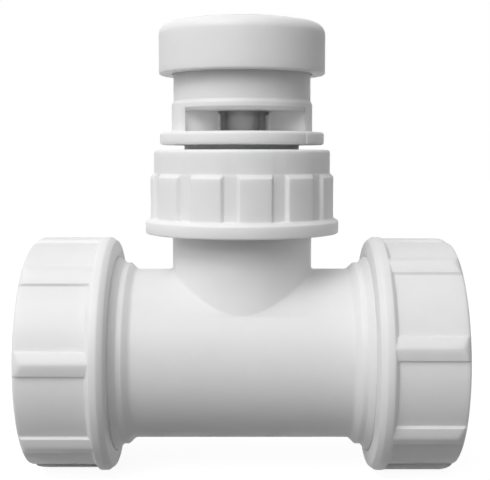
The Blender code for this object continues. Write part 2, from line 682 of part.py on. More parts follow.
def make_valve_body(paint):
    """Neck, flange, drum with two windows, side ducts, throat, seat and cup: one moulding."""
    cup_bead = CUP_TOP - BEAD_FROM_RIM
    body = turned(
        "valve_body",
        [
            (0.0, COLUMN_TOP),
            (COLUMN_RADIUS - COLUMN_TOP_STEP, COLUMN_TOP),
            (COLUMN_RADIUS - COLUMN_TOP_STEP, WINDOW_TOP - AIR_HOLE_SINK),
            (AIR_HOLE_RADIUS, WINDOW_TOP - AIR_HOLE_SINK),
            (AIR_HOLE_RADIUS, SEAT_TOP - SEAT_ROUND),
            (AIR_HOLE_RADIUS + SEAT_ROUND, SEAT_TOP),
            (SEAT_RADIUS - SEAT_ROUND, SEAT_TOP),
            (SEAT_RADIUS, SEAT_TOP - SEAT_ROUND),
            (SEAT_RADIUS, DECK_TOP),
            (CUP_BORE_RADIUS, DECK_TOP),
            (CUP_BORE_RADIUS, CUP_TOP),
            (CUP_RADIUS, CUP_TOP),
            (CUP_RADIUS, cup_bead + BEAD_HEIGHT / 2),
            (BEAD_RADIUS, cup_bead),
            (BEAD_RADIUS, cup_bead - BEAD_WIDTH),
            (CUP_RADIUS, cup_bead - BEAD_WIDTH - BEAD_HEIGHT / 2),
            (CUP_RADIUS, DRUM_TOP),
            (DRUM_RADIUS, DRUM_TOP),
            (DRUM_RADIUS, FLANGE_TOP),
            (FLANGE_RADIUS - FLANGE_ROUND, FLANGE_TOP),
            (FLANGE_RADIUS, FLANGE_TOP - FLANGE_ROUND),
            (FLANGE_RADIUS, FLANGE_LOW + FLANGE_ROUND),
            (FLANGE_RADIUS - FLANGE_ROUND, FLANGE_LOW),
            (NECK_CORE_RADIUS, FLANGE_LOW),
            (NECK_CORE_RADIUS, COLLAR_TOP + 2 * FIT_GAP),
            (SPIGOT_RADIUS, COLLAR_TOP + 2 * FIT_GAP),
            (SPIGOT_RADIUS, SPIGOT_LOW + MOUTH_CHAMFER),
            (SPIGOT_RADIUS - MOUTH_CHAMFER, SPIGOT_LOW),
            (NECK_BORE_RADIUS, SPIGOT_LOW),
            (NECK_BORE_RADIUS, NECK_BORE_TOP),
            (0.0, NECK_BORE_TOP),
        ],
        ring=False,
    )
    web_reach = AIR_HOLE_RADIUS + SEAT_WALL / 2
    web = box(
        "throat_web",
        (-web_reach, -WEB_HALF_THICKNESS - WEB_TAPER, WINDOW_TOP - 2 * AIR_HOLE_SINK),
        (web_reach, WEB_HALF_THICKNESS + WEB_TAPER, DECK_TOP + WEB_RISE),
    )
    lug_inner = NECK_CORE_RADIUS - NECK_WALL / 2
    lug_angles = [LUG_FIRST_ANGLE + 360.0 * i / LUG_COUNT for i in range(LUG_COUNT)]
    lugs = outline_prism(
        "neck_lugs",
        [ring_sector(lug_inner, LUG_RADIUS, angle - 90.0, LUG_WIDTH_ANGLE) for angle in lug_angles]
        + [ring_sector(lug_inner, LUG_RADIUS, NECK_RIB_ANGLE - 90.0, NECK_RIB_WIDTH_ANGLE, 2)],
        COLLAR_TOP + FIT_GAP,
        FLANGE_LOW + FLANGE_THICKNESS / 2,
    )
    front = pocket_outline()
    air_spaces = outline_prism(
        "air_spaces", [front, turned_outline(front, 180.0)], WINDOW_LOW, WINDOW_TOP
    )
    chamfer = turned(
        "lintel_chamfer",
        [
            (DRUM_RADIUS + LINTEL_CHAMFER, WINDOW_TOP + 2 * LINTEL_CHAMFER),
            (DRUM_RADIUS + LINTEL_CHAMFER, WINDOW_TOP - LINTEL_CHAMFER),
            (DRUM_RADIUS - 2 * LINTEL_CHAMFER, WINDOW_TOP - LINTEL_CHAMFER),
        ],
        as_cutter=True,
    )
    between_cheeks = box(
        "between_cheeks",
        (-WINDOW_HALF_WIDTH, -FLANGE_RADIUS - REACH, WINDOW_TOP - LINTEL_CHAMFER / 2),
        (WINDOW_HALF_WIDTH, FLANGE_RADIUS + REACH, WINDOW_TOP + 4 * LINTEL_CHAMFER),
    )
    combine(chamfer, between_cheeks, "INTERSECT")
    duct_half = BRIDGE_HALF_DEPTH - DUCT_WALL
    duct_low = NECK_BORE_TOP - DRUM_FLOOR / 3
    duct_roof = WINDOW_TOP - AIR_HOLE_SINK - DUCT_ROOF
    duct_inner = THROAT_HALF_WIDTH + DUCT_WALL
    riser_radius = CUP_BORE_RADIUS - DUCT_TAPER
    riser_angle = 2 * math.degrees(math.asin((duct_half - DUCT_TAPER) / riser_radius))
    ducts = []
    for side in (-1, 1):
        foot = box(
            f"duct_foot_{side + 1}",
            (min(side * duct_inner, side * CUP_BORE_RADIUS), -duct_half, duct_low),
            (max(side * duct_inner, side * CUP_BORE_RADIUS), duct_half, duct_roof),
        )
        riser = outline_prism(
            f"duct_riser_{side + 1}",
            [ring_sector(DUCT_RADIUS, riser_radius, 90.0 - side * 90.0, riser_angle)],
            duct_low + DUCT_ROOF,
            DECK_TOP + DUCT_ROOF,
        )
        ducts += [foot, riser]
    stem_bore = turned(
        "stem_bore",
        [
            (0.0, COLUMN_TOP + REACH),
            (STEM_BORE_RADIUS, COLUMN_TOP + REACH),
            (STEM_BORE_RADIUS, STEM_LOW - STEM_END_ROOM),
            (0.0, STEM_LOW - STEM_END_ROOM),
        ],
        steps=20,
        ring=False,
        as_cutter=True,
    )
    turn = Matrix.Rotation(math.radians(HEAD_TURN), 4, "Z")
    body.matrix_world = turn
    for tool in (web, air_spaces, chamfer, between_cheeks, *ducts):
        tool.matrix_world = turn
    combine(body, web, "UNION")
    combine(body, lugs, "UNION")
    for tool in (air_spaces, chamfer, *ducts, stem_bore):
        combine(body, tool, "DIFFERENCE")
    return finish(body, paint)


def make_cap(paint):
    """The domed cap: a shell with a lip under the cup's bead, a rib on the cup's rim and a guide boss."""
    side_top = CAP_LOW + CAP_SIDE_HEIGHT
    crown_radius = CAP_RADIUS - CAP_TOP_ROUND
    dome_radius = (crown_radius**2 + CAP_CROWN**2) / (2 * CAP_CROWN)
    edge_top = side_top + CAP_TOP_ROUND
    apex = edge_top + CAP_CROWN
    dome_angle = math.degrees(math.asin(crown_radius / dome_radius))
    dome = arc((0.0, apex - dome_radius), dome_radius, 90.0, 90.0 - dome_angle, 4)
    shoulder = arc((crown_radius, side_top), CAP_TOP_ROUND, 90.0 - dome_angle, 0.0, 4)[1:]
    foot = arc((CAP_RADIUS - CAP_EDGE_ROUND, CAP_LOW + CAP_EDGE_ROUND), CAP_EDGE_ROUND, 0.0, -90.0, 2)
    bead_foot = CUP_TOP - BEAD_FROM_RIM - BEAD_WIDTH - BEAD_HEIGHT / 2
    lip_reach = CAP_LIP_RADIUS - CUP_RADIUS
    lip_top = bead_foot + lip_reach / 2 - FIT_GAP
    ceiling = edge_top - CAP_WALL
    rib_outer = CUP_RADIUS - FIT_GAP
    rib_inner = rib_outer - CAP_RIB_WALL
    boss_radius = CAP_BOSS_BORE + CAP_BOSS_WALL
    boss_low = PLATE_TOP + MEMBRANE_LIFT + FIT_GAP
    inside = [
        (CAP_LIP_RADIUS + FIT_GAP, CAP_LOW),
        (CAP_LIP_RADIUS, CAP_LOW + FIT_GAP),
        (CAP_LIP_RADIUS, lip_top),
        (CAP_BORE_RADIUS, lip_top + (CAP_BORE_RADIUS - CAP_LIP_RADIUS) / 2),
        (CAP_BORE_RADIUS, side_top),
        (CAP_BORE_RADIUS - CAP_WALL / 2, ceiling),
        (rib_outer, ceiling),
        (rib_outer, CUP_TOP + FIT_GAP),
        (rib_inner, CUP_TOP + FIT_GAP),
        (rib_inner, ceiling),
        (boss_radius, ceiling + CAP_CROWN),
        (boss_radius, boss_low),
        (CAP_BOSS_BORE, boss_low),
        (CAP_BOSS_BORE, ceiling),
        (0.0, ceiling),
    ]
    cap = turned("valve_cap", [(0.0, apex)] + dome[1:] + shoulder + foot + inside, ring=False)
    return finish(cap, paint)


def make_membrane(paint):
    """The rubber disc that lies on the seat, with a thickened edge."""
    eye = STEM_RADIUS + FIT_GAP
    middle = (MEMBRANE_LOW + MEMBRANE_TOP) / 2
    membrane = turned(
        "membrane",
        [
            (eye, MEMBRANE_TOP),
            (MEMBRANE_RADIUS - MEMBRANE_THICKNESS / 3, MEMBRANE_TOP),
            (MEMBRANE_RADIUS, middle),
            (MEMBRANE_RADIUS - MEMBRANE_THICKNESS / 3, MEMBRANE_LOW),
            (eye, MEMBRANE_LOW),
        ],
        steps=SMALL_STEPS,
    )
    return finish(membrane, paint)


def make_carrier(paint):
    """The plate over the membrane, with a stem that runs in the column and a pin that runs in the cap."""
    plate_radius = SEAT_RADIUS - PLATE_INSET
    pin_top = PLATE_TOP + GUIDE_PIN_HEIGHT
    hub = STEM_RADIUS + RETAINER_WALL / 2
    carrier = turned(
        "membrane_carrier",
        [
            (0.0, pin_top),
            (GUIDE_PIN_RADIUS * 0.7, pin_top),
            (GUIDE_PIN_RADIUS, pin_top - GUIDE_PIN_RADIUS * 0.4),
            (GUIDE_PIN_RADIUS, PLATE_TOP),
            (plate_radius, PLATE_TOP),
            (plate_radius, PLATE_LOW),
            (STEM_RADIUS, PLATE_LOW),
            (STEM_RADIUS, STEM_LOW + STEM_RADIUS * 0.4),
            (STEM_RADIUS * 0.7, STEM_LOW),
            (0.0, STEM_LOW),
        ],
        steps=SMALL_STEPS,
        ring=False,
    )
    place = (hub + plate_radius) / 2
    holes = outline_prism(
        "plate_holes",
        [
            turned_outline(
                arc((place, 0.0), PLATE_HOLE_RADIUS, 0.0, 324.0, 9),
                360.0 * i / PLATE_HOLE_COUNT,
            )
            for i in range(PLATE_HOLE_COUNT)
        ],
        PLATE_LOW - REACH / 2,
        PLATE_TOP + REACH / 2,
    )
    combine(carrier, holes, "DIFFERENCE")
    return finish(carrier, paint)


def make_retainer(paint):
    """The small ring that holds the membrane on its stem."""
    eye = STEM_RADIUS + FIT_GAP
    low = RETAINER_TOP - RETAINER_THICKNESS
    ring = turned(
        "membrane_retainer",
        [
            (eye, RETAINER_TOP),
            (eye + RETAINER_WALL, RETAINER_TOP),
            (eye + RETAINER_WALL, low),
            (eye, low),
        ],
        steps=SMALL_STEPS,
    )
    return finish(ring, paint)


def build():
    """Makes every piece in its place."""
    empty_the_scene()
    white = material("white_plastic", WHITE)
    natural = material("natural_plastic", NATURAL)
    black = material("black_rubber", BLACK_RUBBER)
    grey = material("grey_rubber", GREY_RUBBER)
    make_tee(white)
    for name, side, turn in (("left", -1, LEFT_NUT_TURN), ("right", 1, RIGHT_NUT_TURN)):
        make_run_nut(name + "_nut", side, turn, white)
        make_run_seal(name + "_seal", side, black)
        make_slip_washer(name + "_slip_washer", side, natural)
    make_branch_nut(white)
    make_branch_washer(black)
    make_clamp_collar(natural)
    make_valve_body(white)
    make_cap(white)
    make_membrane(grey)
    make_carrier(natural)
    make_retainer(natural)


build()
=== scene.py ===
"""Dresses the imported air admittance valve: finer mouldings, cut threads, plastics, rubber and a studio.

Pieces are modelled in millimetres in the part's own frame, with the run along X, the branch up Z and the
origin where their axes cross. They are scaled to metres as they are finished.
"""

import logging
import math
from collections.abc import Callable, Sequence
from dataclasses import dataclass
from enum import Enum

import bmesh
import bpy
from mathutils import Matrix, Vector


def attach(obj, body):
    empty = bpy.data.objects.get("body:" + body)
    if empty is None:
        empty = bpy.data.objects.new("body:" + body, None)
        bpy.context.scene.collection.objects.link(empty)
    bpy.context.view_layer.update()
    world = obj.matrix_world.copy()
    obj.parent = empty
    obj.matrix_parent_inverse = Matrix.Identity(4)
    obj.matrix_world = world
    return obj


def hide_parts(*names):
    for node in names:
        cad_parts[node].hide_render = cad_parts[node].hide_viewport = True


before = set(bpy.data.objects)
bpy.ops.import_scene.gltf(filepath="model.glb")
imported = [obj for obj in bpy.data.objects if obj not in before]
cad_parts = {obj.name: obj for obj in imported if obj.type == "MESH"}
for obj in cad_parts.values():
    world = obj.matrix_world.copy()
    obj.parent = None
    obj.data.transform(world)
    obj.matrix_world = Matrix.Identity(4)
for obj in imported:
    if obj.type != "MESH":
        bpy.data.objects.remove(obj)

Point = tuple[float, float]
Corner = tuple[float, float, float]
Colour = tuple[float, float, float]
Paints = dict[str, bpy.types.Material]
Piece = bpy.types.Object

LOG = logging.getLogger("air_valve")
MILLIMETRE = 0.001
WELD = 0.002
ROUND_STEPS = 144
SMOOTH_ANGLE = 30.0
REACH = 4.0  # how far a tool runs past the surface that it cuts


class Axis(Enum):
    """The line that a profile is turned round."""

    RUN = (1.0, 0.0, 0.0)
    BRANCH = (0.0, 0.0, 1.0)


class Cut(Enum):
    """What a tool does to the piece that it is used on."""

    AWAY = "DIFFERENCE"
    JOIN = "UNION"
    KEEP = "INTERSECT"


class End(Enum):
    """One end of the run."""

    LEFT = -1
    RIGHT = 1

    def placement(self, turn: float = 0.0) -> Matrix:
        """How a piece made along +Z is laid out of this end, with its +X side to the front.

        Args:
            turn: Degrees from the front, upwards.

        Returns:
            The placement, which is a turn alone.
        """
        clock = -90.0 - turn if self is End.RIGHT else turn - 90.0
        lie = Matrix.Rotation(math.radians(90.0 * self.value), 4, "Y")
        return lie @ Matrix.Rotation(math.radians(clock), 4, "Z")


@dataclass(frozen=True)
class Role:
    """What a piece stands for in the frame."""

    body: str
    node: str
    slot: str = "white_plastic"


def leave_edit_mode() -> None:
    """Goes back to object mode with nothing selected."""
    if bpy.context.mode != "OBJECT":
        bpy.ops.object.mode_set(mode="OBJECT")
    bpy.ops.object.select_all(action="DESELECT")


def take_up(piece: Piece) -> None:
    """Selects one piece alone and makes it active."""
    leave_edit_mode()
    piece.select_set(True)
    bpy.context.view_layer.objects.active = piece


def settle(piece: Piece) -> None:
    """Merges doubles and turns every face outwards."""
    take_up(piece)
    bpy.ops.object.mode_set(mode="EDIT")
    bpy.ops.mesh.select_all(action="SELECT")
    bpy.ops.mesh.remove_doubles(threshold=WELD)
    bpy.ops.mesh.dissolve_degenerate(threshold=WELD)
    bpy.ops.mesh.select_all(action="SELECT")
    bpy.ops.mesh.normals_make_consistent(inside=False)
    leave_edit_mode()


def draw_line(name: str, points: Sequence[Vector], closed: bool) -> Piece:
    """Draws a line of edges, one extruded vertex after another.

    Args:
        name: The new piece's name.
        points: The places that the line goes through.
        closed: Whether the last point is joined to the first.

    Returns:
        The line, left in edit mode with all of it selected.
    """
    leave_edit_mode()
    bpy.ops.mesh.primitive_plane_add(size=0.1, location=points[0])
    piece = bpy.context.active_object
    piece.name = name
    piece.data.name = name
    bpy.ops.object.transform_apply()
    bpy.ops.object.mode_set(mode="EDIT")
    bpy.ops.mesh.select_all(action="SELECT")
    bpy.ops.mesh.merge(type="CENTER")
    for here, there in zip(points, points[1:]):
        bpy.ops.mesh.extrude_vertices_move(TRANSFORM_OT_translate={"value": there - here})
    if closed:
        work = bmesh.from_edit_mesh(piece.data)
        for vertex in work.verts:
            vertex.select = len(vertex.link_edges) == 1
        work.select_flush(True)
        bmesh.update_edit_mesh(piece.data)
        bpy.ops.mesh.edge_face_add()
    bpy.ops.mesh.select_all(action="SELECT")
    return piece


def arc(centre: Point, radius: float, start: float, end: float, count: int) -> list[Point]:
    """Points on a round, from one angle to the other, in degrees."""
    angles = [math.radians(start + (end - start) * i / count) for i in range(count + 1)]
    return [(centre[0] + radius * math.cos(a), centre[1] + radius * math.sin(a)) for a in angles]


def soften(corners: Sequence[Corner], closed: bool = True, segments: int = 4) -> list[Point]:
    """Rounds the corners of a flat outline.

    Args:
        corners: Points with the radius of the round at each, 0 for a sharp one.
        closed: Whether the outline closes on itself.
        segments: How many edges a round gets.

    Returns:
        The outline's points.
    """
    made: list[Point] = []
    last = len(corners) - 1
    for i, (x, y, radius) in enumerate(corners):
        if radius <= 0.0 or (not closed and i in (0, last)):
            made.append((x, y))
            continue
        here = Vector((x, y))
        before = Vector(corners[i - 1][:2]) - here
        after = Vector(corners[(i + 1) % len(corners)][:2]) - here
        half = before.angle(after) / 2
        back = min(radius / math.tan(half), before.length * 0.49, after.length * 0.49)
        radius = back * math.tan(half)
        middle = (before.normalized() + after.normalized()).normalized()
        centre = here + middle * (radius / math.sin(half))
        first = here + before.normalized() * back - centre
        final = here + after.normalized() * back - centre
        start = math.atan2(first.y, first.x)
        sweep = math.atan2(first.x * final.y - first.y * final.x, first.dot(final))
        middle_point = (centre.x, centre.y)
        made += arc(middle_point, radius, math.degrees(start), math.degrees(start + sweep), segments)
    return made


def turned(
    name: str,
    outline: Sequence[Point],
    axis: Axis = Axis.BRANCH,
    steps: int = ROUND_STEPS,
    closed: bool = True,
) -> Piece:
    """Spins an outline round an axis.

    Args:
        name: The new piece's name.
        outline: Points of radius and place along the axis.
        axis: What it is turned round.
        steps: Facets in a full turn.
        closed: True for a ring, false where the outline starts and ends on the axis.

    Returns:
        The turned piece.
    """
    if axis is Axis.BRANCH:
        points = [Vector((radius, 0.0, along)) for radius, along in outline]
    else:
        points = [Vector((along, 0.0, radius)) for radius, along in outline]
    piece = draw_line(name, points, closed)
    bpy.ops.mesh.spin(
        steps=steps, dupli=False, angle=math.tau, use_auto_merge=True, center=(0, 0, 0), axis=axis.value
    )
    settle(piece)
    return piece


def prism(name: str, outline: Sequence[Point], low: float, high: float) -> Piece:
    """Fills a flat outline of x and y and extrudes it up from one height to another."""
    piece = draw_line(name, [Vector((x, y, low)) for x, y in outline], True)
    bpy.ops.mesh.edge_face_add()
    bpy.ops.mesh.extrude_region_move(TRANSFORM_OT_translate={"value": (0.0, 0.0, high - low)})
    settle(piece)
    return piece


def block(name: str, low: Sequence[float], high: Sequence[float]) -> Piece:
    """A rectangular tool between two corners."""
    leave_edit_mode()
    size = [abs(b - a) for a, b in zip(low, high)]
    middle = [(a + b) / 2 for a, b in zip(low, high)]
    bpy.ops.mesh.primitive_cube_add(size=1.0, location=middle, scale=size)
    piece = bpy.context.active_object
    piece.name = name
    bpy.ops.object.transform_apply()
    return piece


def ring_sector(inner: float, outer: float, middle: float, width: float, count: int = 16) -> list[Point]:
    """The outline of part of a flat ring, round an angle from +X, in degrees."""
    start, end = middle - width / 2, middle + width / 2
    return arc((0, 0), outer, start, end, count) + arc((0, 0), inner, end, start, count)


def place(piece: Piece, placement: Matrix) -> Piece:
    """Moves the piece's own mesh, its object left at the origin."""
    piece.data.transform(placement)
    piece.data.update()
    return piece


def about_branch(angle: float) -> Matrix:
    """A turn about the branch's axis, in degrees."""
    return Matrix.Rotation(math.radians(angle), 4, "Z")


def work_with(piece: Piece, tool: Piece, cut: Cut = Cut.AWAY) -> None:
    """Cuts, joins or trims the piece with a tool, and puts the tool away.

    Args:
        piece: What is worked on.
        tool: The other shape, which is removed afterwards.
        cut: What is done.
    """
    take_up(piece)
    change = piece.modifiers.new("work", "BOOLEAN")
    change.operation = cut.value
    change.solver = "EXACT"
    change.object = tool
    bpy.ops.object.modifier_apply(modifier=change.name)
    bpy.data.objects.remove(tool, do_unlink=True)


def soft_max(a: float, b: float, width: float) -> float:
    """The larger of two values, rounded over where they are about equal."""
    near = max(width - abs(a - b), 0.0) / width
    return max(a, b) + near * near * width / 4


def soft_min(a: float, b: float, width: float) -> float:
    """The smaller of two values, rounded over where they are about equal."""
    return -soft_max(-a, -b, width)


def ramp(value: float, start: float, end: float) -> float:
    """A smooth rise from 0 at the start to 1 at the end."""
    share = min(max((value - start) / (end - start), 0.0), 1.0)
    return share * share * (3.0 - 2.0 * share)


def line_angles(offsets: Sequence[float], repeats: int) -> list[float]:
    """Angles for the lines of a turned piece, gathered where its relief needs them.

    Args:
        offsets: Degrees from the middle of one rib or pad, from 0 to half a pitch.
        repeats: How many ribs or pads go round.

    Returns:
        The angles in radians, rising from 0.
    """
    pitch = 360.0 / repeats
    rising = [offset for offset in offsets if offset < pitch / 2]
    falling = [pitch - offset for offset in reversed(offsets) if offset > 0.0]
    return [math.radians(pitch * i + offset) for i in range(repeats) for offset in rising + falling]


def off_middle(angle: float, count: int) -> float:
    """How far an angle lies from the nearest middle of evenly set ribs or pads, in radians."""
    pitch = math.tau / count
    return abs((angle + pitch / 2) % pitch - pitch / 2)


def carve(
    piece: Piece,
    angles: Sequence[float],
    radius_at: Callable[[float, float, float], float],
) -> None:
    """Moves the lines of a piece turned about Z to new angles and its surface to new radii.

    Args:
        piece: The piece, turned with as many steps as there are angles.
        angles: Where the lines go, in radians.
        radius_at: Gives the new radius for a radius, an angle and a height.
    """
    count = len(angles)
    for vertex in piece.data.vertices:
        radius = math.hypot(vertex.co.x, vertex.co.y)
        step = round(math.atan2(vertex.co.y, vertex.co.x) / math.tau * count) % count
        angle = angles[step]
        radius = radius_at(radius, angle, vertex.co.z)
        vertex.co = (radius * math.cos(angle), radius * math.sin(angle), vertex.co.z)
    piece.data.update()


def finish_piece(piece: Piece, paints: Paints, role: Role) -> None:
    """Scales a piece to metres, shades it, paints it and gives it its place in the frame.

    Args:
        piece: The modelled piece, in millimetres.
        paints: The material of each slot.
        role: The body that it rides on, the node that it stands for and its slot.
    """
    settle(piece)
    place(piece, Matrix.Scale(MILLIMETRE, 4))
    take_up(piece)
    bpy.ops.object.shade_smooth_by_angle(angle=math.radians(SMOOTH_ANGLE))
    leave_edit_mode()
    piece.data.materials.clear()
    piece.data.materials.append(paints[role.slot])
    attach(piece, role.body)
    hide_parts(role.node)
    LOG.info("%s: %d faces on %s", piece.name, len(piece.data.polygons), role.body)


def feed(node: bpy.types.Node, inputs: dict[str | int, object]) -> bpy.types.Node:
    """Gives a node's inputs what they read, each a value or another node's output."""
    for name, source in inputs.items():
        if isinstance(source, bpy.types.NodeSocket):
            node.id_data.links.new(source, node.inputs[name])
        else:
            node.inputs[name].default_value = source
    return node


def add_node(
    tree: bpy.types.NodeTree, kind: str, inputs: dict[str | int, object], operation: str = ""
) -> bpy.types.Node:
    """Adds a node to a material or a world.

    Args:
        tree: The nodes that it joins.
        kind: Its type, without the leading ShaderNode.
        inputs: What its inputs read, by name or number.
        operation: What a maths node works out.

    Returns:
        The node.
    """
    node = tree.nodes.new("ShaderNode" + kind)
    if operation:
        node.operation = operation
    return feed(node, inputs)


@dataclass(frozen=True)
class Finish:
    """A moulded or pressed surface, made as a procedural material."""

    name: str
    tint: Colour
    roughness: float
    roughness_spread: float = 0.05
    mottle: float = 0.02
    mottle_scale: float = 160.0
    grain_scale: float = 2400.0
    grain_depth: float = 0.000004
    ripple_scale: float = 300.0
    ripple_depth: float = 0.00002
    specular: float = 0.35
    scatter: float = 0.0
    scatter_depth: float = 0.0025

    NOISE_SPAN = (0.3, 0.7)  # the noise's levels that the tint and the roughness spread over

    def make(self) -> bpy.types.Material:
        """Builds the material's nodes, all of them reading the piece's own coordinates."""
        paint = bpy.data.materials.new(self.name)
        paint.use_nodes = True
        tree = paint.node_tree
        spot = add_node(tree, "TexCoord", {}).outputs["Object"]
        noises = ((self.mottle_scale, 4.0), (self.ripple_scale, 1.0), (self.grain_scale, 2.0))
        clouds, ripples, grain = (
            add_node(tree, "TexNoise", {"Vector": spot, "Scale": scale, "Detail": detail}).outputs["Fac"]
            for scale, detail in noises
        )
        soft = add_node(tree, "Bump", {"Height": ripples, "Strength": 1.0, "Distance": self.ripple_depth})
        fine = add_node(tree, "Bump", {"Height": grain, "Strength": 1.0, "Distance": self.grain_depth})
        feed(fine, {"Normal": soft.outputs["Normal"]})
        low, high = self.NOISE_SPAN
        tint = add_node(tree, "ValToRGB", {"Fac": clouds})
        dark, light = tint.color_ramp.elements
        dark.position, light.position = low, high
        dark.color = (*[c * (1.0 - self.mottle) for c in self.tint], 1.0)
        light.color = (*self.tint, 1.0)
        smooth, rough = self.roughness - self.roughness_spread, self.roughness + self.roughness_spread
        span = {"From Min": low, "From Max": high, "To Min": smooth, "To Max": rough}
        gloss = add_node(tree, "MapRange", {"Value": clouds, **span})
        reads = {
            "Base Color": tint.outputs["Color"],
            "Roughness": gloss.outputs["Result"],
            "Normal": fine.outputs["Normal"],
            "Specular IOR Level": self.specular,
            "Subsurface Weight": self.scatter,
            "Subsurface Radius": (1.0, 1.0, 1.0),
            "Subsurface Scale": self.scatter_depth,
        }
        feed(tree.nodes["Principled BSDF"], reads)
        return paint


def mix_paints() -> Paints:
    """Makes the four finishes, each once, under the slots that they fill."""
    finishes = {
        "white_plastic": Finish("moulded_white", (0.88, 0.88, 0.88), 0.42, scatter=0.6),
        "natural_plastic": Finish("natural_matte", (0.74, 0.74, 0.72), 0.5, mottle=0.04),
        "black_rubber": Finish("black_rubber_surface", (0.028, 0.028, 0.028), 0.72, mottle=0.25),
        "grey_rubber": Finish("grey_rubber_surface", (0.15, 0.15, 0.16), 0.66, mottle=0.15),
    }
    return {slot: finish.make() for slot, finish in finishes.items()}


@dataclass(frozen=True)
class Thread:
    """A right-handed ridge that winds up a cylinder along +Z, its two ends faded into the wall."""

    root: float
    crest: float
    low: float
    high: float
    pitch: float
    foot_width: float
    crest_width: float
    bite: float = 0.25
    fade: float = 60.0
    thinnest: float = 0.03
    steps_per_turn: int = 96

    def make(self, name: str) -> Piece:
        """Winds the ridge's section up the axis.

        Args:
            name: The new piece's name.

        Returns:
            The closed ridge, its foot sunk into the wall.
        """
        foot = self.root - math.copysign(self.bite, self.crest - self.root)
        half = [(foot, self.foot_width / 2), (self.crest, self.crest_width / 2)]
        section = [Vector((radius, 0.0, self.low - wide)) for radius, wide in half]
        section += [Vector((radius, 0.0, self.low + wide)) for radius, wide in reversed(half)]
        piece = draw_line(name, section, True)
        turns = (self.high - self.low) / self.pitch
        steps = math.ceil(turns * self.steps_per_turn)
        take_up(piece)
        winding = piece.modifiers.new("winding", "SCREW")
        winding.axis = "Z"
        winding.angle = math.tau * turns
        winding.screw_offset = self.high - self.low
        winding.steps = winding.render_steps = steps
        bpy.ops.object.modifier_apply(modifier=winding.name)
        for vertex in piece.data.vertices:
            along = vertex.index // len(section) / steps * turns * 360.0
            fullness = max(ramp(min(along, turns * 360.0 - along), 0.0, self.fade), self.thinnest)
            radius = math.hypot(vertex.co.x, vertex.co.y)
            scale = (foot + (radius - foot) * fullness) / radius
            vertex.co.x *= scale
            vertex.co.y *= scale
        bpy.ops.object.mode_set(mode="EDIT")
        bpy.ops.mesh.select_all(action="SELECT")
        bpy.ops.mesh.fill_holes(sides=len(section))
        settle(piece)
        return piece


RUN_PITCH = 4.0
RUN_THREAD = Thread(24.95, 26.25, 35.6, 48.0, RUN_PITCH, 2.2, 1.0)
RUN_NUT_THREAD = Thread(26.6, 25.35, 37.6, 46.0, RUN_PITCH, 2.2, 0.9)
BRANCH_PITCH = 3.0
BRANCH_THREAD = Thread(19.35, 20.85, 38.4, 47.9, BRANCH_PITCH, 1.9, 0.7)
BRANCH_NUT_THREAD = Thread(21.2, 19.75, 39.9, 46.5, BRANCH_PITCH, 1.9, 0.6)


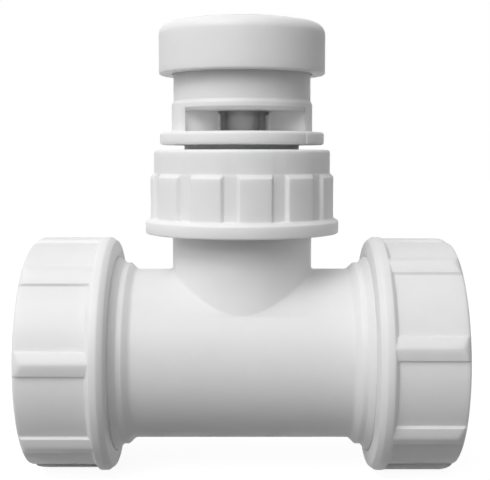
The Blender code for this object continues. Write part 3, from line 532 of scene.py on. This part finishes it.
@dataclass(frozen=True)
class Tee:
    """The run and the branch in one moulding, with bores, pipe stops, threads and its gate."""

    run_bore: float = 20.0
    socket: float = 21.8
    run: float = 23.2
    shoulder: float = 24.95
    collar: float = 26.54
    body_end: float = 29.0
    shoulder_start: float = 30.8
    collar_start: float = 32.2
    collar_slope: float = 1.7
    collar_end: float = 35.7
    pipe_stop: float = 31.5
    mouth: float = 49.0
    branch_bore: float = 16.0
    branch: float = 19.05
    branch_core: float = 19.35
    branch_core_start: float = 37.0
    branch_mouth: float = 48.6
    mouth_round: float = 0.8
    stop_chamfer: float = 0.3
    branch_mouth_round: float = 0.5
    saddle_round: float = 0.9
    saddle_loops: int = 6
    saddle_bite: float = 0.04
    saddle_root: float = 0.6
    gate: float = 1.2
    gate_height: float = 0.6
    gate_root: float = 1.5

    def build(self, paints: Paints) -> None:
        """Turns the run, joins the branch and the threads to it and bores both."""
        tee = turned("tee", self._run_outline(), Axis.RUN, closed=False)
        branch = [
            (0.0, self.branch_mouth, 0.0),
            (self.branch_core, self.branch_mouth, 0.7),
            (self.branch_core, self.branch_core_start, 0.2),
            (self.branch, self.branch_core_start - 0.3, 0.2),
            (self.branch, 0.0, 0.0),
            (0.0, 0.0, 0.0),
        ]
        work_with(tee, turned("branch", soften(branch, False), closed=False), Cut.JOIN)
        work_with(tee, self._saddle(), Cut.JOIN)
        work_with(tee, self._gate(), Cut.JOIN)
        for end in End:
            work_with(tee, place(RUN_THREAD.make("run_thread"), end.placement()), Cut.JOIN)
        work_with(tee, BRANCH_THREAD.make("branch_thread"), Cut.JOIN)
        work_with(tee, turned("run_bore", self._bore_outline(), Axis.RUN, closed=False))
        top, bend = self.branch_mouth, self.branch_mouth_round
        bore = [
            (0.0, top + REACH),
            (self.branch_bore + bend + REACH, top + REACH),
            (self.branch_bore + bend, top),
            *arc((self.branch_bore + bend, top - bend), bend, 90.0, 180.0, 4),
            (self.branch_bore, 0.0),
            (0.0, 0.0),
        ]
        work_with(tee, turned("branch_bore", bore, closed=False))
        finish_piece(tee, paints, Role("tee", "tee_body"))

    def _run_outline(self) -> list[Point]:
        """The run's outside from one mouth to the other."""
        half = [
            (0.0, self.mouth, 0.0),
            (self.shoulder, self.mouth, 0.6),
            (self.shoulder, self.collar_end + 0.35, 0.15),
            (self.collar, self.collar_end, 0.3),
            (self.collar, self.collar_start + self.collar_slope, 0.5),
            (self.shoulder, self.collar_start, 0.6),
            (self.shoulder, self.shoulder_start, 0.8),
            (self.run, self.body_end, 1.6),
        ]
        return soften(half + [(radius, -x, bend) for radius, x, bend in reversed(half)], False)

    def _bore_outline(self) -> list[Point]:
        """The run's bore and its two sockets, each with a rounded mouth."""
        bend = self.mouth_round
        half = [
            (0.0, self.mouth + REACH),
            (self.socket + bend + REACH, self.mouth + REACH),
            *arc((self.socket + bend, self.mouth - bend), bend, 90.0, 180.0, 4),
            (self.socket, self.pipe_stop),
            (self.run_bore + self.stop_chamfer, self.pipe_stop),
            (self.run_bore, self.pipe_stop - self.stop_chamfer),
        ]
        return half + [(radius, -x) for radius, x in reversed(half)]

    def _gate(self) -> Piece:
        """The stub that the moulding's gate leaves under the run."""
        root, low = self.gate_root - self.run, -self.run - self.gate_height
        corners = [(0.0, root, 0.0), (self.gate, root, 0.0), (self.gate, low, 0.35), (0.0, low, 0.0)]
        return turned("gate", soften(corners, False), steps=32, closed=False)

    def _saddle(self) -> Piece:
        """The round where the branch grows out of the run: a turned ring, moved onto the two walls."""
        loops = arc((self.branch, 0.0), 0.5, 180.0, -90.0, self.saddle_loops + 1)
        saddle = turned("saddle", loops)
        for vertex in saddle.data.vertices:
            flat = Vector((math.hypot(vertex.co.x, vertex.co.y), vertex.co.z))
            loop = min(range(len(loops)), key=lambda i: (flat - Vector(loops[i])).length)
            vertex.co = self._saddle_point(loop, math.atan2(vertex.co.y, vertex.co.x))
        settle(saddle)
        return saddle

    def _saddle_point(self, loop: int, angle: float) -> Vector:
        """A point of the saddle's round.

        Args:
            loop: 0 on the branch's wall, saddle_loops on the run's wall, and one more for the hidden root.
            angle: Where round the branch, in radians.

        Returns:
            The point, a little inside the wall at either side of the round.
        """
        c, s = math.cos(angle), math.sin(angle)
        if loop > self.saddle_loops:
            inner, under = self.branch - self.saddle_root, self.run - self.saddle_root
            return Vector((inner * c, inner * s, math.sqrt(under**2 - (inner * s) ** 2)))
        reach = self.branch + self.saddle_round
        rolled = self.run + self.saddle_round
        rise = math.sqrt(rolled**2 - (reach * s) ** 2)
        centre = Vector((reach * c, reach * s, rise))
        on_branch = Vector((self.branch * c, self.branch * s, rise)) - centre
        on_run = Vector((reach * c, reach * s * self.run / rolled, rise * self.run / rolled)) - centre
        spoke = on_branch.slerp(on_run, loop / self.saddle_loops)
        bite = self.saddle_bite if loop in (0, self.saddle_loops) else 0.0
        return centre + spoke.normalized() * (self.saddle_round + bite)


@dataclass(frozen=True)
class RunNut:
    """A nut of the run: roof-shaped ribs between pockets, a rounded rim and a thread inside."""

    end: End
    turn: float
    bore: float = 26.6
    floor: float = 30.4
    outside: float = 31.99
    eye: float = 22.3
    start: float = 34.15
    corner: float = 1.5
    corner_drop: float = 1.1
    rim_end: float = 38.1
    slope: float = 1.1
    wall_start: float = 55.3
    finish: float = 57.4
    edge_round: float = 3.4
    rib_count: int = 8
    rib_half_width: float = 2.95
    roof: float = 20.0
    crest_over: float = 0.1
    crest_round: float = 0.004
    side_depth: float = 1.0
    side_fall: float = 2.6
    foot_blend: float = 0.16
    top_blend: float = 0.3
    face_step: float = 0.45
    skin: float = 3.0

    # Degrees from a rib's crest and places along the run that get a line of the mesh
    LINES = (
        *(0.0, 0.2, 0.5, 1.0, 1.8, 2.8, 3.7, 4.4, 4.9, 5.2, 5.36, 5.46, 5.56, 5.7, 5.9, 6.2, 6.6, 7.3),
        *(8.6, 10.0, 11.8, 13.8, 16.0, 18.2, 20.4, 22.5),
    )
    ROWS = (
        *(53.0, 51.5, 49.5, 47.0, 44.5, 42.5, 41.2, 40.4, 40.0, 39.7, 39.5, 39.3, 39.15, 39.0, 38.8),
        *(38.6, 38.4, 38.25, 38.1, 37.95, 37.6, 37.0),
    )

    def build(self, paints: Paints) -> None:
        """Turns the nut, carves its pockets and ribs and joins its thread."""
        name = f"{self.end.name.lower()}_nut"
        angles = line_angles(self.LINES, self.rib_count)
        nut = turned(f"{name}_moulding", self._outline(), steps=len(angles))
        carve(nut, angles, self._radius_at)
        turn = self.end.placement(self.turn)
        thread = place(RUN_NUT_THREAD.make("nut_thread"), turn.inverted() @ self.end.placement())
        work_with(nut, thread, Cut.JOIN)
        finish_piece(place(nut, turn), paints, Role(name, name))

    def _outline(self) -> list[Point]:
        """The nut's section before its pockets are carved, as radius and distance along the run."""
        shell, bend = self.outside, self.edge_round
        flat = self.start + self.face_step
        face = [
            (shell, 36.6, 0.0), (shell, flat + self.corner, 1.2),
            (shell - self.corner_drop, flat, 0.7), (self.bore + 1.2, self.start, 0.3),
            (self.bore + 0.9, self.start, 0.0),
        ]
        return [
            (self.eye + 0.5, self.finish),
            *arc((shell - bend, self.finish - bend), bend, 90.0, 0.0, 9),
            *[(shell, x) for x in self.ROWS],
            *soften(face, False),
            (self.bore + 0.2, self.start),
            (self.bore, self.start + 0.2),
            (self.bore, self.wall_start - 0.4),
            (self.bore - 0.4, self.wall_start),
            (self.eye + 0.3, self.wall_start),
            (self.eye, self.wall_start + 0.3),
            *arc((self.eye + 0.5, self.finish - 0.5), 0.5, 180.0, 120.0, 2),
        ]

    def _radius_at(self, radius: float, angle: float, along: float) -> float:
        """How far out the surface stands.

        Args:
            radius: Before carving.
            angle: Round the nut, in radians, with a rib's crest at 0.
            along: The distance along the run.

        Returns:
            The radius after carving.
        """
        if radius < self.floor - self.skin:
            return radius
        onto_rim = max(self.rim_end + self.slope - along, 0.0)
        floor = self.floor + onto_rim * (self.outside - self.floor) / self.slope
        off = off_middle(angle, self.rib_count)
        edge = math.asin(self.rib_half_width / (self.outside - self.side_depth))
        within = min(off, edge)
        lean = math.hypot(math.sin(within), self.crest_round) * math.tan(math.radians(self.roof))
        roof = (self.outside + self.crest_over) / (math.cos(within) + lean)
        roof -= max(off - edge, 0.0) * self.outside * self.side_fall
        return soft_min(radius, soft_max(floor, roof, self.foot_blend), self.top_blend)


@dataclass(frozen=True)
class BranchNut:
    """The branch's nut: a plain band over twelve pads that stand on a skirt, with a thread inside."""

    bore: float = 21.2
    band: float = 24.0
    pad: float = 25.0
    skirt: float = 26.4
    eye: float = 16.3
    low: float = 33.4
    skirt_top: float = 36.7
    skirt_slope: float = 0.9
    channel_low: float = 37.6
    pad_top: float = 48.65
    band_low: float = 49.65
    web_low: float = 53.6
    top: float = 56.0
    pad_count: int = 12
    pad_half_width: float = 4.08
    pad_bevel: float = 0.65
    pads_turn: float = 8.15
    wall: float = 1.0
    edge_lift: float = 0.4
    edge_lead: float = 0.2
    floor_lift: float = 0.05
    ledge_lead: float = 0.1
    ledge_slope: float = 8.0
    foot_blend: float = 0.35
    top_blend: float = 0.3

    # Degrees from a pad's middle and heights that get a line of the mesh
    LINES = (
        *(0.0, 2.0, 4.2, 6.2, 7.6, 8.2, 8.6, 8.9, 9.15, 9.4, 9.6, 9.8, 10.0, 10.2, 10.4, 10.6),
        *(10.8, 11.0, 11.25, 11.55, 12.1, 13.2, 15.0),
    )
    ROWS = (
        *(37.8, 37.9, 38.0, 38.15, 38.4, 38.8, 39.4, 40.4, 42.0, 44.0, 46.0, 47.5),
        *(50.4, 51.2, 52.4, 53.6, 54.6),
    )

    def build(self, paints: Paints) -> None:
        """Turns the nut, carves the channels between its pads and joins its thread."""
        angles = line_angles(self.LINES, self.pad_count)
        nut = turned("branch_nut_moulding", self._outline(), steps=len(angles))
        carve(nut, angles, self._radius_at)
        turn = about_branch(self.pads_turn - 90.0)
        work_with(nut, place(BRANCH_NUT_THREAD.make("nut_thread"), turn.inverted()), Cut.JOIN)
        finish_piece(place(nut, turn), paints, Role("branch_nut", "branch_nut"))

    def _outline(self) -> list[Point]:
        """The nut's section with its pads all round, as radius and height."""
        corners = [
            (self.eye, self.top, 0.35), (self.band, self.top, 0.8),
            (self.band, self.band_low, 0.35), (self.pad, self.pad_top, 0.45),
            (self.pad, self.skirt_top + self.skirt_slope, 0.5), (self.skirt, self.skirt_top, 0.5),
            (self.skirt, self.low, 0.5), (self.bore, self.low, 0.4),
            (self.bore, self.web_low, 0.3), (self.eye, self.web_low, 0.3),
        ]
        outline = soften(corners)
        made: list[Point] = []
        for here, there in zip(outline, outline[1:] + outline[:1]):
            made.append(here)
            upright = abs(here[0] - there[0]) < 0.01 and here[1] > there[1]
            if upright and here[0] > self.bore + self.wall:
                made += [(here[0], z) for z in reversed(self.ROWS) if there[1] + 0.05 < z < here[1] - 0.05]
        return made

    def _radius_at(self, radius: float, angle: float, height: float) -> float:
        """How far out the surface stands.

        Args:
            radius: Before carving.
            angle: Round the nut, in radians, with a pad's middle at 0.
            height: Up the branch.

        Returns:
            The radius after carving.
        """
        if radius < self.bore + self.wall:
            return radius
        across = radius * math.sin(off_middle(angle, self.pad_count)) - self.pad_half_width
        drop = (self.pad - self.band) / self.pad_bevel
        pad = self.pad + self.edge_lift - max(across + self.edge_lead, 0.0) * drop
        ledge = max(self.channel_low + self.ledge_lead - height, 0.0) * self.ledge_slope
        floor = self.band + self.floor_lift + ledge
        return soft_min(radius, soft_max(floor, pad, self.foot_blend), self.top_blend)


@dataclass(frozen=True)
class ValveBody:
    """Neck with lugs, flange, drum with two windows, ducts, throat, seat and cup, in one moulding."""

    turn: float = 5.4
    spigot: float = 15.4
    spigot_low: float = 44.1
    spigot_top: float = 53.9
    core: float = 14.2
    shank: float = 15.5
    shank_low: float = 54.8
    neck_bore: float = 12.4
    neck_bore_top: float = 59.0
    lug: float = 15.7
    lug_low: float = 53.6
    lug_angles: tuple[float, ...] = (-70.0, 50.0, 170.0)
    lug_width: float = 43.0
    lug_root: float = 0.9
    lug_head: float = 1.7
    rib_angle: float = 4.0
    rib_width: float = 8.0
    flange: float = 22.3
    flange_low: float = 57.3
    flange_top: float = 60.7
    drum: float = 19.1
    drum_top: float = 69.0
    cup: float = 18.6
    cup_bore: float = 17.0
    cup_top: float = 81.3
    bead: float = 19.7
    bead_at: float = 79.0
    window_half: float = 15.8
    window_low: float = 60.8
    window_top: float = 66.3
    lintel_chamfer: float = 0.8
    bridge: float = 6.0
    cheek: float = 9.2
    throat: float = 6.2
    throat_round: float = 0.7
    column: float = 4.7
    column_top: float = 69.6
    web: float = 0.6
    web_bite: float = 0.8
    web_rise: float = 1.8
    deck: float = 68.1
    air_hole: float = 9.0
    air_hole_sink: float = 0.9
    seat: float = 10.6
    seat_top: float = 72.1
    stem_bore: float = 2.1
    stem_bore_low: float = 61.6
    duct: float = 11.9
    duct_wall: float = 1.4
    duct_roof: float = 2.2
    duct_taper: float = 0.1
    duct_overlap: float = 0.57
    riser_overlap: float = 1.3
    land_from: float = 16.4
    land_to: float = 17.0

    def build(self, paints: Paints) -> None:
        """Turns the body, joins its lugs and web and cuts its air ways."""
        body = turned("valve_moulding", soften(self._corners(), False), closed=False)
        reach = self.air_hole + self.web_bite
        low, high = self.window_top - self.web_rise, self.deck + self.web_rise
        work_with(body, block("web", (-reach, -self.web, low), (reach, self.web, high)), Cut.JOIN)
        for angle in self.lug_angles:
            work_with(body, self._lug(angle, self.lug_width), Cut.JOIN)
        work_with(body, self._lug(self.rib_angle, self.rib_width), Cut.JOIN)
        for back in (0.0, 180.0):
            pocket = prism("air_space", self._pocket(), self.window_low, self.window_top)
            work_with(body, place(pocket, about_branch(back)))
        work_with(body, self._chamfer())
        for side in (-1, 1):
            for tool in self._duct_tools(side):
                work_with(body, tool)
        guide = [
            (0.0, self.column_top + REACH), (self.stem_bore, self.column_top + REACH),
            (self.stem_bore, self.stem_bore_low), (0.0, self.stem_bore_low),
        ]
        work_with(body, turned("guide", guide, steps=48, closed=False))
        place(body, about_branch(self.turn))
        for back in (0.0, 180.0):
            work_with(body, place(self._land(), about_branch(back)))
        finish_piece(body, paints, Role("head", "valve_body"))

    def _corners(self) -> list[Corner]:
        """The section of all that is round, as radius, height and the round at each corner."""
        hole_low = self.window_top - self.air_hole_sink
        return [
            (0.0, self.column_top, 0.0), (self.column - 0.3, self.column_top, 0.3),
            (self.column - 0.3, hole_low, 0.0), (self.air_hole, hole_low, 0.0),
            (self.air_hole, self.seat_top, 0.4), (self.seat, self.seat_top, 0.4),
            (self.seat, self.deck, 0.3), (self.cup_bore, self.deck, 0.4),
            (self.cup_bore, self.cup_top, 0.3), (self.cup, self.cup_top, 0.3),
            (self.cup, self.bead_at + 0.6, 0.15), (self.bead, self.bead_at, 0.2),
            (self.bead, self.bead_at - 0.5, 0.2), (self.cup, self.bead_at - 1.1, 0.15),
            (self.cup, self.drum_top + 0.1, 0.25), (self.drum, self.drum_top - 0.8, 0.3),
            (self.drum, self.flange_top, 0.35), (self.flange, self.flange_top, 0.8),
            (self.flange, self.flange_low, 0.8), (self.shank, self.flange_low, 0.3),
            (self.shank, self.shank_low, 0.2), (self.core, self.shank_low, 0.2),
            (self.core, self.spigot_top, 0.2), (self.spigot, self.spigot_top, 0.2),
            (self.spigot, self.spigot_low, 0.8), (self.neck_bore, self.spigot_low, 0.3),
            (self.neck_bore, self.neck_bore_top, 0.4), (0.0, self.neck_bore_top, 0.0),
        ]

    def _lug(self, angle: float, width: float) -> Piece:
        """A lug on the neck, its angle taken from the front before the head is turned."""
        outline = ring_sector(self.core - self.lug_root, self.lug, angle - 90.0 - self.turn, width)
        return prism("lug", outline, self.lug_low, self.flange_low + self.lug_head)

    def _pocket(self) -> list[Point]:
        """The plan of one window's air space, from its cheeks in to the throat round the column."""
        outside = self.flange + REACH
        column_angle = math.degrees(math.asin(self.web / self.column))
        corner = (self.throat + self.throat_round, self.throat_round - self.bridge)
        right = [
            (self.window_half, -outside),
            (self.window_half, -self.cheek),
            *arc(corner, self.throat_round, 292.0, 180.0, 6),
            (self.throat, -self.web),
        ]
        front = arc((0.0, 0.0), self.column, -column_angle, column_angle - 180.0, 28)
        return right + front + [(-x, y) for x, y in reversed(right)]

    def _chamfer(self) -> Piece:
        """The wedge that slopes the windows' upper edges."""
        run, top = self.lintel_chamfer, self.window_top
        ring = [
            (self.drum + run, top + 2 * run),
            (self.drum + run, top - run),
            (self.drum - 2 * run, top - run),
        ]
        wedge = turned("chamfer", ring)
        half, outside = self.window_half, self.flange + REACH
        between = block("between", (-half, -outside, top - run / 2), (half, outside, top + 4 * run))
        work_with(wedge, between, Cut.KEEP)
        return wedge

    def _duct_tools(self, side: int) -> list[Piece]:
        """The foot and the riser of the duct at one side."""
        half, inner = self.bridge - self.duct_wall, self.throat + self.duct_wall
        low, roof = self.neck_bore_top - self.duct_overlap, self.window_top - self.duct_roof
        foot = block("duct_foot", (side * inner, -half, low), (side * self.cup_bore, half, roof))
        radius = self.cup_bore - self.duct_taper
        width = 2 * math.degrees(math.asin((half - self.duct_taper) / radius))
        sector = ring_sector(self.duct, radius, 90.0 - side * 90.0, width)
        over = self.riser_overlap
        return [foot, prism("duct_riser", sector, low + over, self.deck + over)]

    def _land(self) -> Piece:
        """What flattens a strip of the flange, where the mould's side core meets the rest."""
        front = -math.sqrt(self.flange**2 - self.land_to**2)
        return block(
            "land",
            (self.land_from, -self.flange - REACH, self.flange_low - 1.0),
            (self.land_to, front, self.flange_top + 1.0),
        )


@dataclass(frozen=True)
class ValveCap:
    """The domed cap: a shell with a lip under the cup's bead, a rib on the cup's rim and a guide boss."""

    outside: float = 22.5
    bore: float = 20.3
    lip: float = 19.0
    lip_top: float = 77.85
    lip_slope: float = 0.65
    low: float = 76.2
    side_top: float = 86.6
    top_round: float = 3.2
    edge_round: float = 0.6
    crown: float = 1.95
    ceiling: float = 87.6
    ceiling_slope: float = 1.1
    rib_outer: float = 18.3
    rib_inner: float = 17.2
    rib_low: float = 81.6
    boss: float = 3.2
    boss_bore: float = 1.8
    boss_low: float = 78.9

    def build(self, paints: Paints) -> None:
        """Turns the cap in one go."""
        crown = self.outside - self.top_round
        dome = (crown**2 + self.crown**2) / (2 * self.crown)
        apex = self.side_top + self.top_round + self.crown
        fall = math.degrees(math.asin(crown / dome))
        top = arc((0.0, apex - dome), dome, 90.0, 90.0 - fall, 16)
        top[0] = (0.0, apex)
        shoulder = arc((crown, self.side_top), self.top_round, 90.0 - fall, 0.0, 12)[1:]
        side = [(self.outside, z) for z in (84.5, 82.0, 79.5)]
        edge = self.edge_round
        foot = arc((self.outside - edge, self.low + edge), edge, 0.0, -90.0, 6)
        inside = [
            (self.outside - 1.0, self.low, 0.0), (self.lip, self.low, 0.3),
            (self.lip, self.lip_top, 0.2), (self.bore, self.lip_top + self.lip_slope, 0.2),
            (self.bore, self.side_top, 0.6), (self.bore - self.ceiling_slope, self.ceiling, 0.4),
            (self.rib_outer, self.ceiling, 0.3), (self.rib_outer, self.rib_low, 0.2),
            (self.rib_inner, self.rib_low, 0.2), (self.rib_inner, self.ceiling, 0.4),
            (self.boss, self.ceiling + self.crown, 0.5), (self.boss, self.boss_low, 0.3),
            (self.boss_bore, self.boss_low, 0.2), (self.boss_bore, self.ceiling, 0.0),
            (0.0, self.ceiling, 0.0),
        ]
        outline = top + shoulder + side + foot + soften(inside, False)[1:]
        cap = turned("cap_moulding", outline, steps=192, closed=False)
        finish_piece(cap, paints, Role("head", "valve_cap"))


@dataclass(frozen=True)
class Ring:
    """A plain turned ring, such as a seal or a washer."""

    name: str
    corners: tuple[Corner, ...]
    role: Role
    end: End | None = None

    def build(self, paints: Paints) -> None:
        """Turns the ring and lays it in its place."""
        ring = turned(self.name, soften(self.corners))
        if self.end is not None:
            place(ring, self.end.placement())
        finish_piece(ring, paints, self.role)


@dataclass(frozen=True)
class RunEnd:
    """All that sits on one end of the run: the nut, the seal and the slip washer."""

    end: End
    nut_turn: float
    seal: tuple[Corner, ...] = (
        (22.1, 53.3, 0.3), (26.3, 53.3, 0.4), (26.3, 50.5, 0.3),
        (25.1, 49.3, 0.3), (22.6, 49.3, 0.15), (22.1, 48.9, 0.12),
    )
    slip_washer: tuple[Corner, ...] = (
        (22.3, 55.0, 0.2), (25.83, 55.0, 0.2), (26.3, 54.53, 0.2),
        (26.3, 53.6, 0.2), (22.3, 53.6, 0.2),
    )

    def build(self, paints: Paints) -> None:
        """Builds the three pieces."""
        side = self.end.name.lower()
        RunNut(self.end, self.nut_turn).build(paints)
        grip = Role(f"{side}_sleeve", f"{side}_seal", "black_rubber")
        Ring(f"{side}_grip_ring", self.seal, grip, self.end).build(paints)
        slide = Role(f"{side}_sleeve", f"{side}_slip_washer", "natural_plastic")
        Ring(f"{side}_slide_ring", self.slip_washer, slide, self.end).build(paints)


@dataclass(frozen=True)
class NeckRings:
    """The flat washer on the branch's mouth and the collar that the nut presses on it."""

    washer: tuple[Corner, ...] = (
        (15.7, 50.4, 0.2), (19.6, 50.4, 0.3), (19.6, 48.9, 0.3),
        (15.7, 48.9, 0.2),
    )
    collar: tuple[Corner, ...] = (
        (15.7, 53.3, 0.2), (20.25, 53.3, 0.2), (20.9, 52.65, 0.2),
        (20.9, 50.7, 0.2), (15.7, 50.7, 0.2),
    )

    def build(self, paints: Paints) -> None:
        """Builds both rings."""
        Ring("flat_washer", self.washer, Role("tee", "branch_washer", "black_rubber")).build(paints)
        Ring("neck_collar", self.collar, Role("head", "clamp_collar", "natural_plastic")).build(paints)


@dataclass(frozen=True)
class MembraneGroup:
    """The membrane, the plate with its stem and pin, and the ring that holds the two together."""

    eye: float = 2.1
    membrane: float = 12.6
    membrane_low: float = 72.4
    membrane_top: float = 73.3
    plate: float = 10.2
    plate_low: float = 73.6
    plate_top: float = 74.6
    stem: float = 1.8
    stem_low: float = 62.6
    pin: float = 1.5
    pin_top: float = 79.1
    hole: float = 1.5
    hole_at: float = 6.575
    hole_count: int = 6
    retainer: float = 4.4
    retainer_low: float = 71.3
    retainer_top: float = 72.1

    def build(self, paints: Paints) -> None:
        """Builds the three pieces."""
        disc = (
            (self.eye, self.membrane_top, 0.1),
            (self.membrane - 0.3, self.membrane_top, 0.2),
            (self.membrane, (self.membrane_low + self.membrane_top) / 2, 0.15),
            (self.membrane - 0.3, self.membrane_low, 0.2),
            (self.eye, self.membrane_low, 0.1),
        )
        Ring("rubber_disc", disc, Role("membrane_group", "membrane", "grey_rubber")).build(paints)
        clip = (
            (self.eye, self.retainer_top, 0.1), (self.retainer, self.retainer_top, 0.15),
            (self.retainer, self.retainer_low, 0.15), (self.eye, self.retainer_low, 0.1),
        )
        held = Role("membrane_group", "membrane_retainer", "natural_plastic")
        Ring("stem_clip", clip, held).build(paints)
        self._carrier(paints)

    def _carrier(self, paints: Paints) -> None:
        """Turns the plate with its stem and its pin and bores the holes round it."""
        corners = [
            (0.0, self.pin_top, 0.0), (self.pin, self.pin_top, 0.5),
            (self.pin, self.plate_top, 0.25), (self.plate, self.plate_top, 0.3),
            (self.plate, self.plate_low, 0.2), (self.stem, self.plate_low, 0.15),
            (self.stem, self.stem_low, 0.6), (0.0, self.stem_low, 0.0),
        ]
        carrier = turned("disc_carrier", soften(corners, False), steps=96, closed=False)
        for i in range(self.hole_count):
            angle = math.tau * i / self.hole_count
            middle = (self.hole_at * math.cos(angle), self.hole_at * math.sin(angle))
            hole = arc(middle, self.hole, 0.0, 345.0, 23)
            work_with(carrier, prism("hole", hole, self.plate_low - 1.0, self.plate_top + 1.0))
        finish_piece(carrier, paints, Role("membrane_group", "membrane_carrier", "natural_plastic"))


@dataclass(frozen=True)
class Lamp:
    """A soft square lamp that looks at the middle of the object."""

    name: str
    azimuth: float
    elevation: float
    distance: float
    size: float
    power: float

    def hang(self, target: Vector) -> None:
        """Makes the lamp.

        Args:
            target: What it looks at, in metres.
        """
        data = bpy.data.lights.new(self.name, "AREA")
        data.shape = "SQUARE"
        data.size = self.size
        data.energy = self.power
        lamp = bpy.data.objects.new(self.name, data)
        bpy.context.scene.collection.objects.link(lamp)
        across, up = math.radians(self.azimuth), math.radians(self.elevation)
        back = Vector((math.sin(across) * math.cos(up), -math.cos(across) * math.cos(up), math.sin(up)))
        lamp.location = target + back * self.distance
        lamp.rotation_euler = (-back).to_track_quat("-Z", "Y").to_euler()


@dataclass(frozen=True)
class Studio:
    """A pale floor, a pale surround and soft lamps.

    The sky is how strongly the surround lights the object from the left, from the front and from above.
    """

    floor_height: float = -0.0323
    floor_size: float = 6.0
    floor_tint: float = 0.22
    floor_glow: float = 0.93
    sky: tuple[float, float, float] = (0.56, 0.24, 0.38)
    target: tuple[float, float, float] = (0.0, 0.0, 0.03)
    lamps: tuple[Lamp, ...] = (
        Lamp("key", -38.0, 50.0, 0.9, 0.38, 2.1),
        Lamp("second", -20.0, 35.0, 0.9, 0.45, 2.65),
    )

    def build(self) -> None:
        """Lays the floor and hangs the lamps."""
        leave_edit_mode()
        bpy.ops.mesh.primitive_plane_add(size=self.floor_size, location=(0.0, 0.0, self.floor_height))
        floor = bpy.context.active_object
        floor.name = "floor"
        floor.data.materials.append(self._floor_paint())
        for lamp in self.lamps:
            lamp.hang(Vector(self.target))
        self._surround()

    @staticmethod
    def _seen(tree: bpy.types.NodeTree) -> bpy.types.NodeSocket:
        """1 for a camera, glossy or transmission ray and 0 for any other."""
        path = add_node(tree, "LightPath", {})
        seen = path.outputs["Is Camera Ray"]
        for ray in ("Is Glossy Ray", "Is Transmission Ray"):
            seen = add_node(tree, "Math", {0: seen, 1: path.outputs[ray]}, "MAXIMUM").outputs["Value"]
        return seen

    def _floor_paint(self) -> bpy.types.Material:
        """A dull floor that glows nearly white to the camera, so that a faint shadow stays on it."""
        paint = bpy.data.materials.new("pale_floor")
        paint.use_nodes = True
        tree = paint.node_tree
        tree.nodes.clear()
        dull = add_node(tree, "BsdfDiffuse", {"Color": (self.floor_tint,) * 3 + (1.0,)})
        level = add_node(tree, "Math", {0: self._seen(tree), 1: self.floor_glow}, "MULTIPLY")
        glow = add_node(tree, "Emission", {"Color": (1.0,) * 4, "Strength": level.outputs["Value"]})
        both = add_node(tree, "AddShader", {0: dull.outputs["BSDF"], 1: glow.outputs["Emission"]})
        add_node(tree, "OutputMaterial", {"Surface": both.outputs["Shader"]})
        return paint

    def _surround(self) -> None:
        """A world that is white to the camera and, as a light, a sky that fades to the right and back."""
        world = bpy.data.worlds.new("surround")
        world.use_nodes = True
        bpy.context.scene.world = world
        tree = world.node_tree
        way = add_node(tree, "TexCoord", {}).outputs["Generated"]
        sides = add_node(tree, "VectorMath", {0: way, 1: (-1.0, -1.0, 1.0)}, "MULTIPLY").outputs["Vector"]
        lit = add_node(tree, "VectorMath", {0: sides}, "MAXIMUM").outputs["Vector"]
        total = add_node(tree, "VectorMath", {0: lit, 1: self.sky}, "DOT_PRODUCT").outputs["Value"]
        span = {"Value": self._seen(tree), "To Min": total, "To Max": 1.0}
        level = add_node(tree, "MapRange", span).outputs["Result"]
        feed(tree.nodes["Background"], {"Color": (1.0,) * 4, "Strength": level})


@dataclass(frozen=True)
class Viewpoint:
    """The photograph's camera."""

    place: tuple[float, float, float] = (0.00082, -0.2746, 0.0546)
    pitch_down: float = 4.86
    focal_pixels: float = 1000.0
    frame_width: float = 490.0
    sensor: float = 36.0
    clip: tuple[float, float] = (0.01, 20.0)

    def set_up(self) -> None:
        """Makes the camera and gives it to the scene."""
        data = bpy.data.cameras.new("camera")
        data.sensor_width = self.sensor
        data.lens = self.focal_pixels * self.sensor / self.frame_width
        data.clip_start, data.clip_end = self.clip
        camera = bpy.data.objects.new("camera", data)
        bpy.context.scene.collection.objects.link(camera)
        camera.location = self.place
        camera.rotation_euler = (math.radians(90.0 - self.pitch_down), 0.0, 0.0)
        bpy.context.scene.camera = camera


def main() -> None:
    """Builds every sub-assembly, the studio and the camera."""
    logging.basicConfig(level=logging.INFO, format="%(name)s: %(message)s")
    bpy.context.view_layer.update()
    paints = mix_paints()
    Tee().build(paints)
    RunEnd(End.LEFT, 5.4).build(paints)
    RunEnd(End.RIGHT, 12.6).build(paints)
    BranchNut().build(paints)
    NeckRings().build(paints)
    ValveBody().build(paints)
    ValveCap().build(paints)
    MembraneGroup().build(paints)
    Studio().build()
    Viewpoint().set_up()
    bpy.context.scene.view_settings.view_transform = "Standard"


if __name__ == "__main__":
    main()
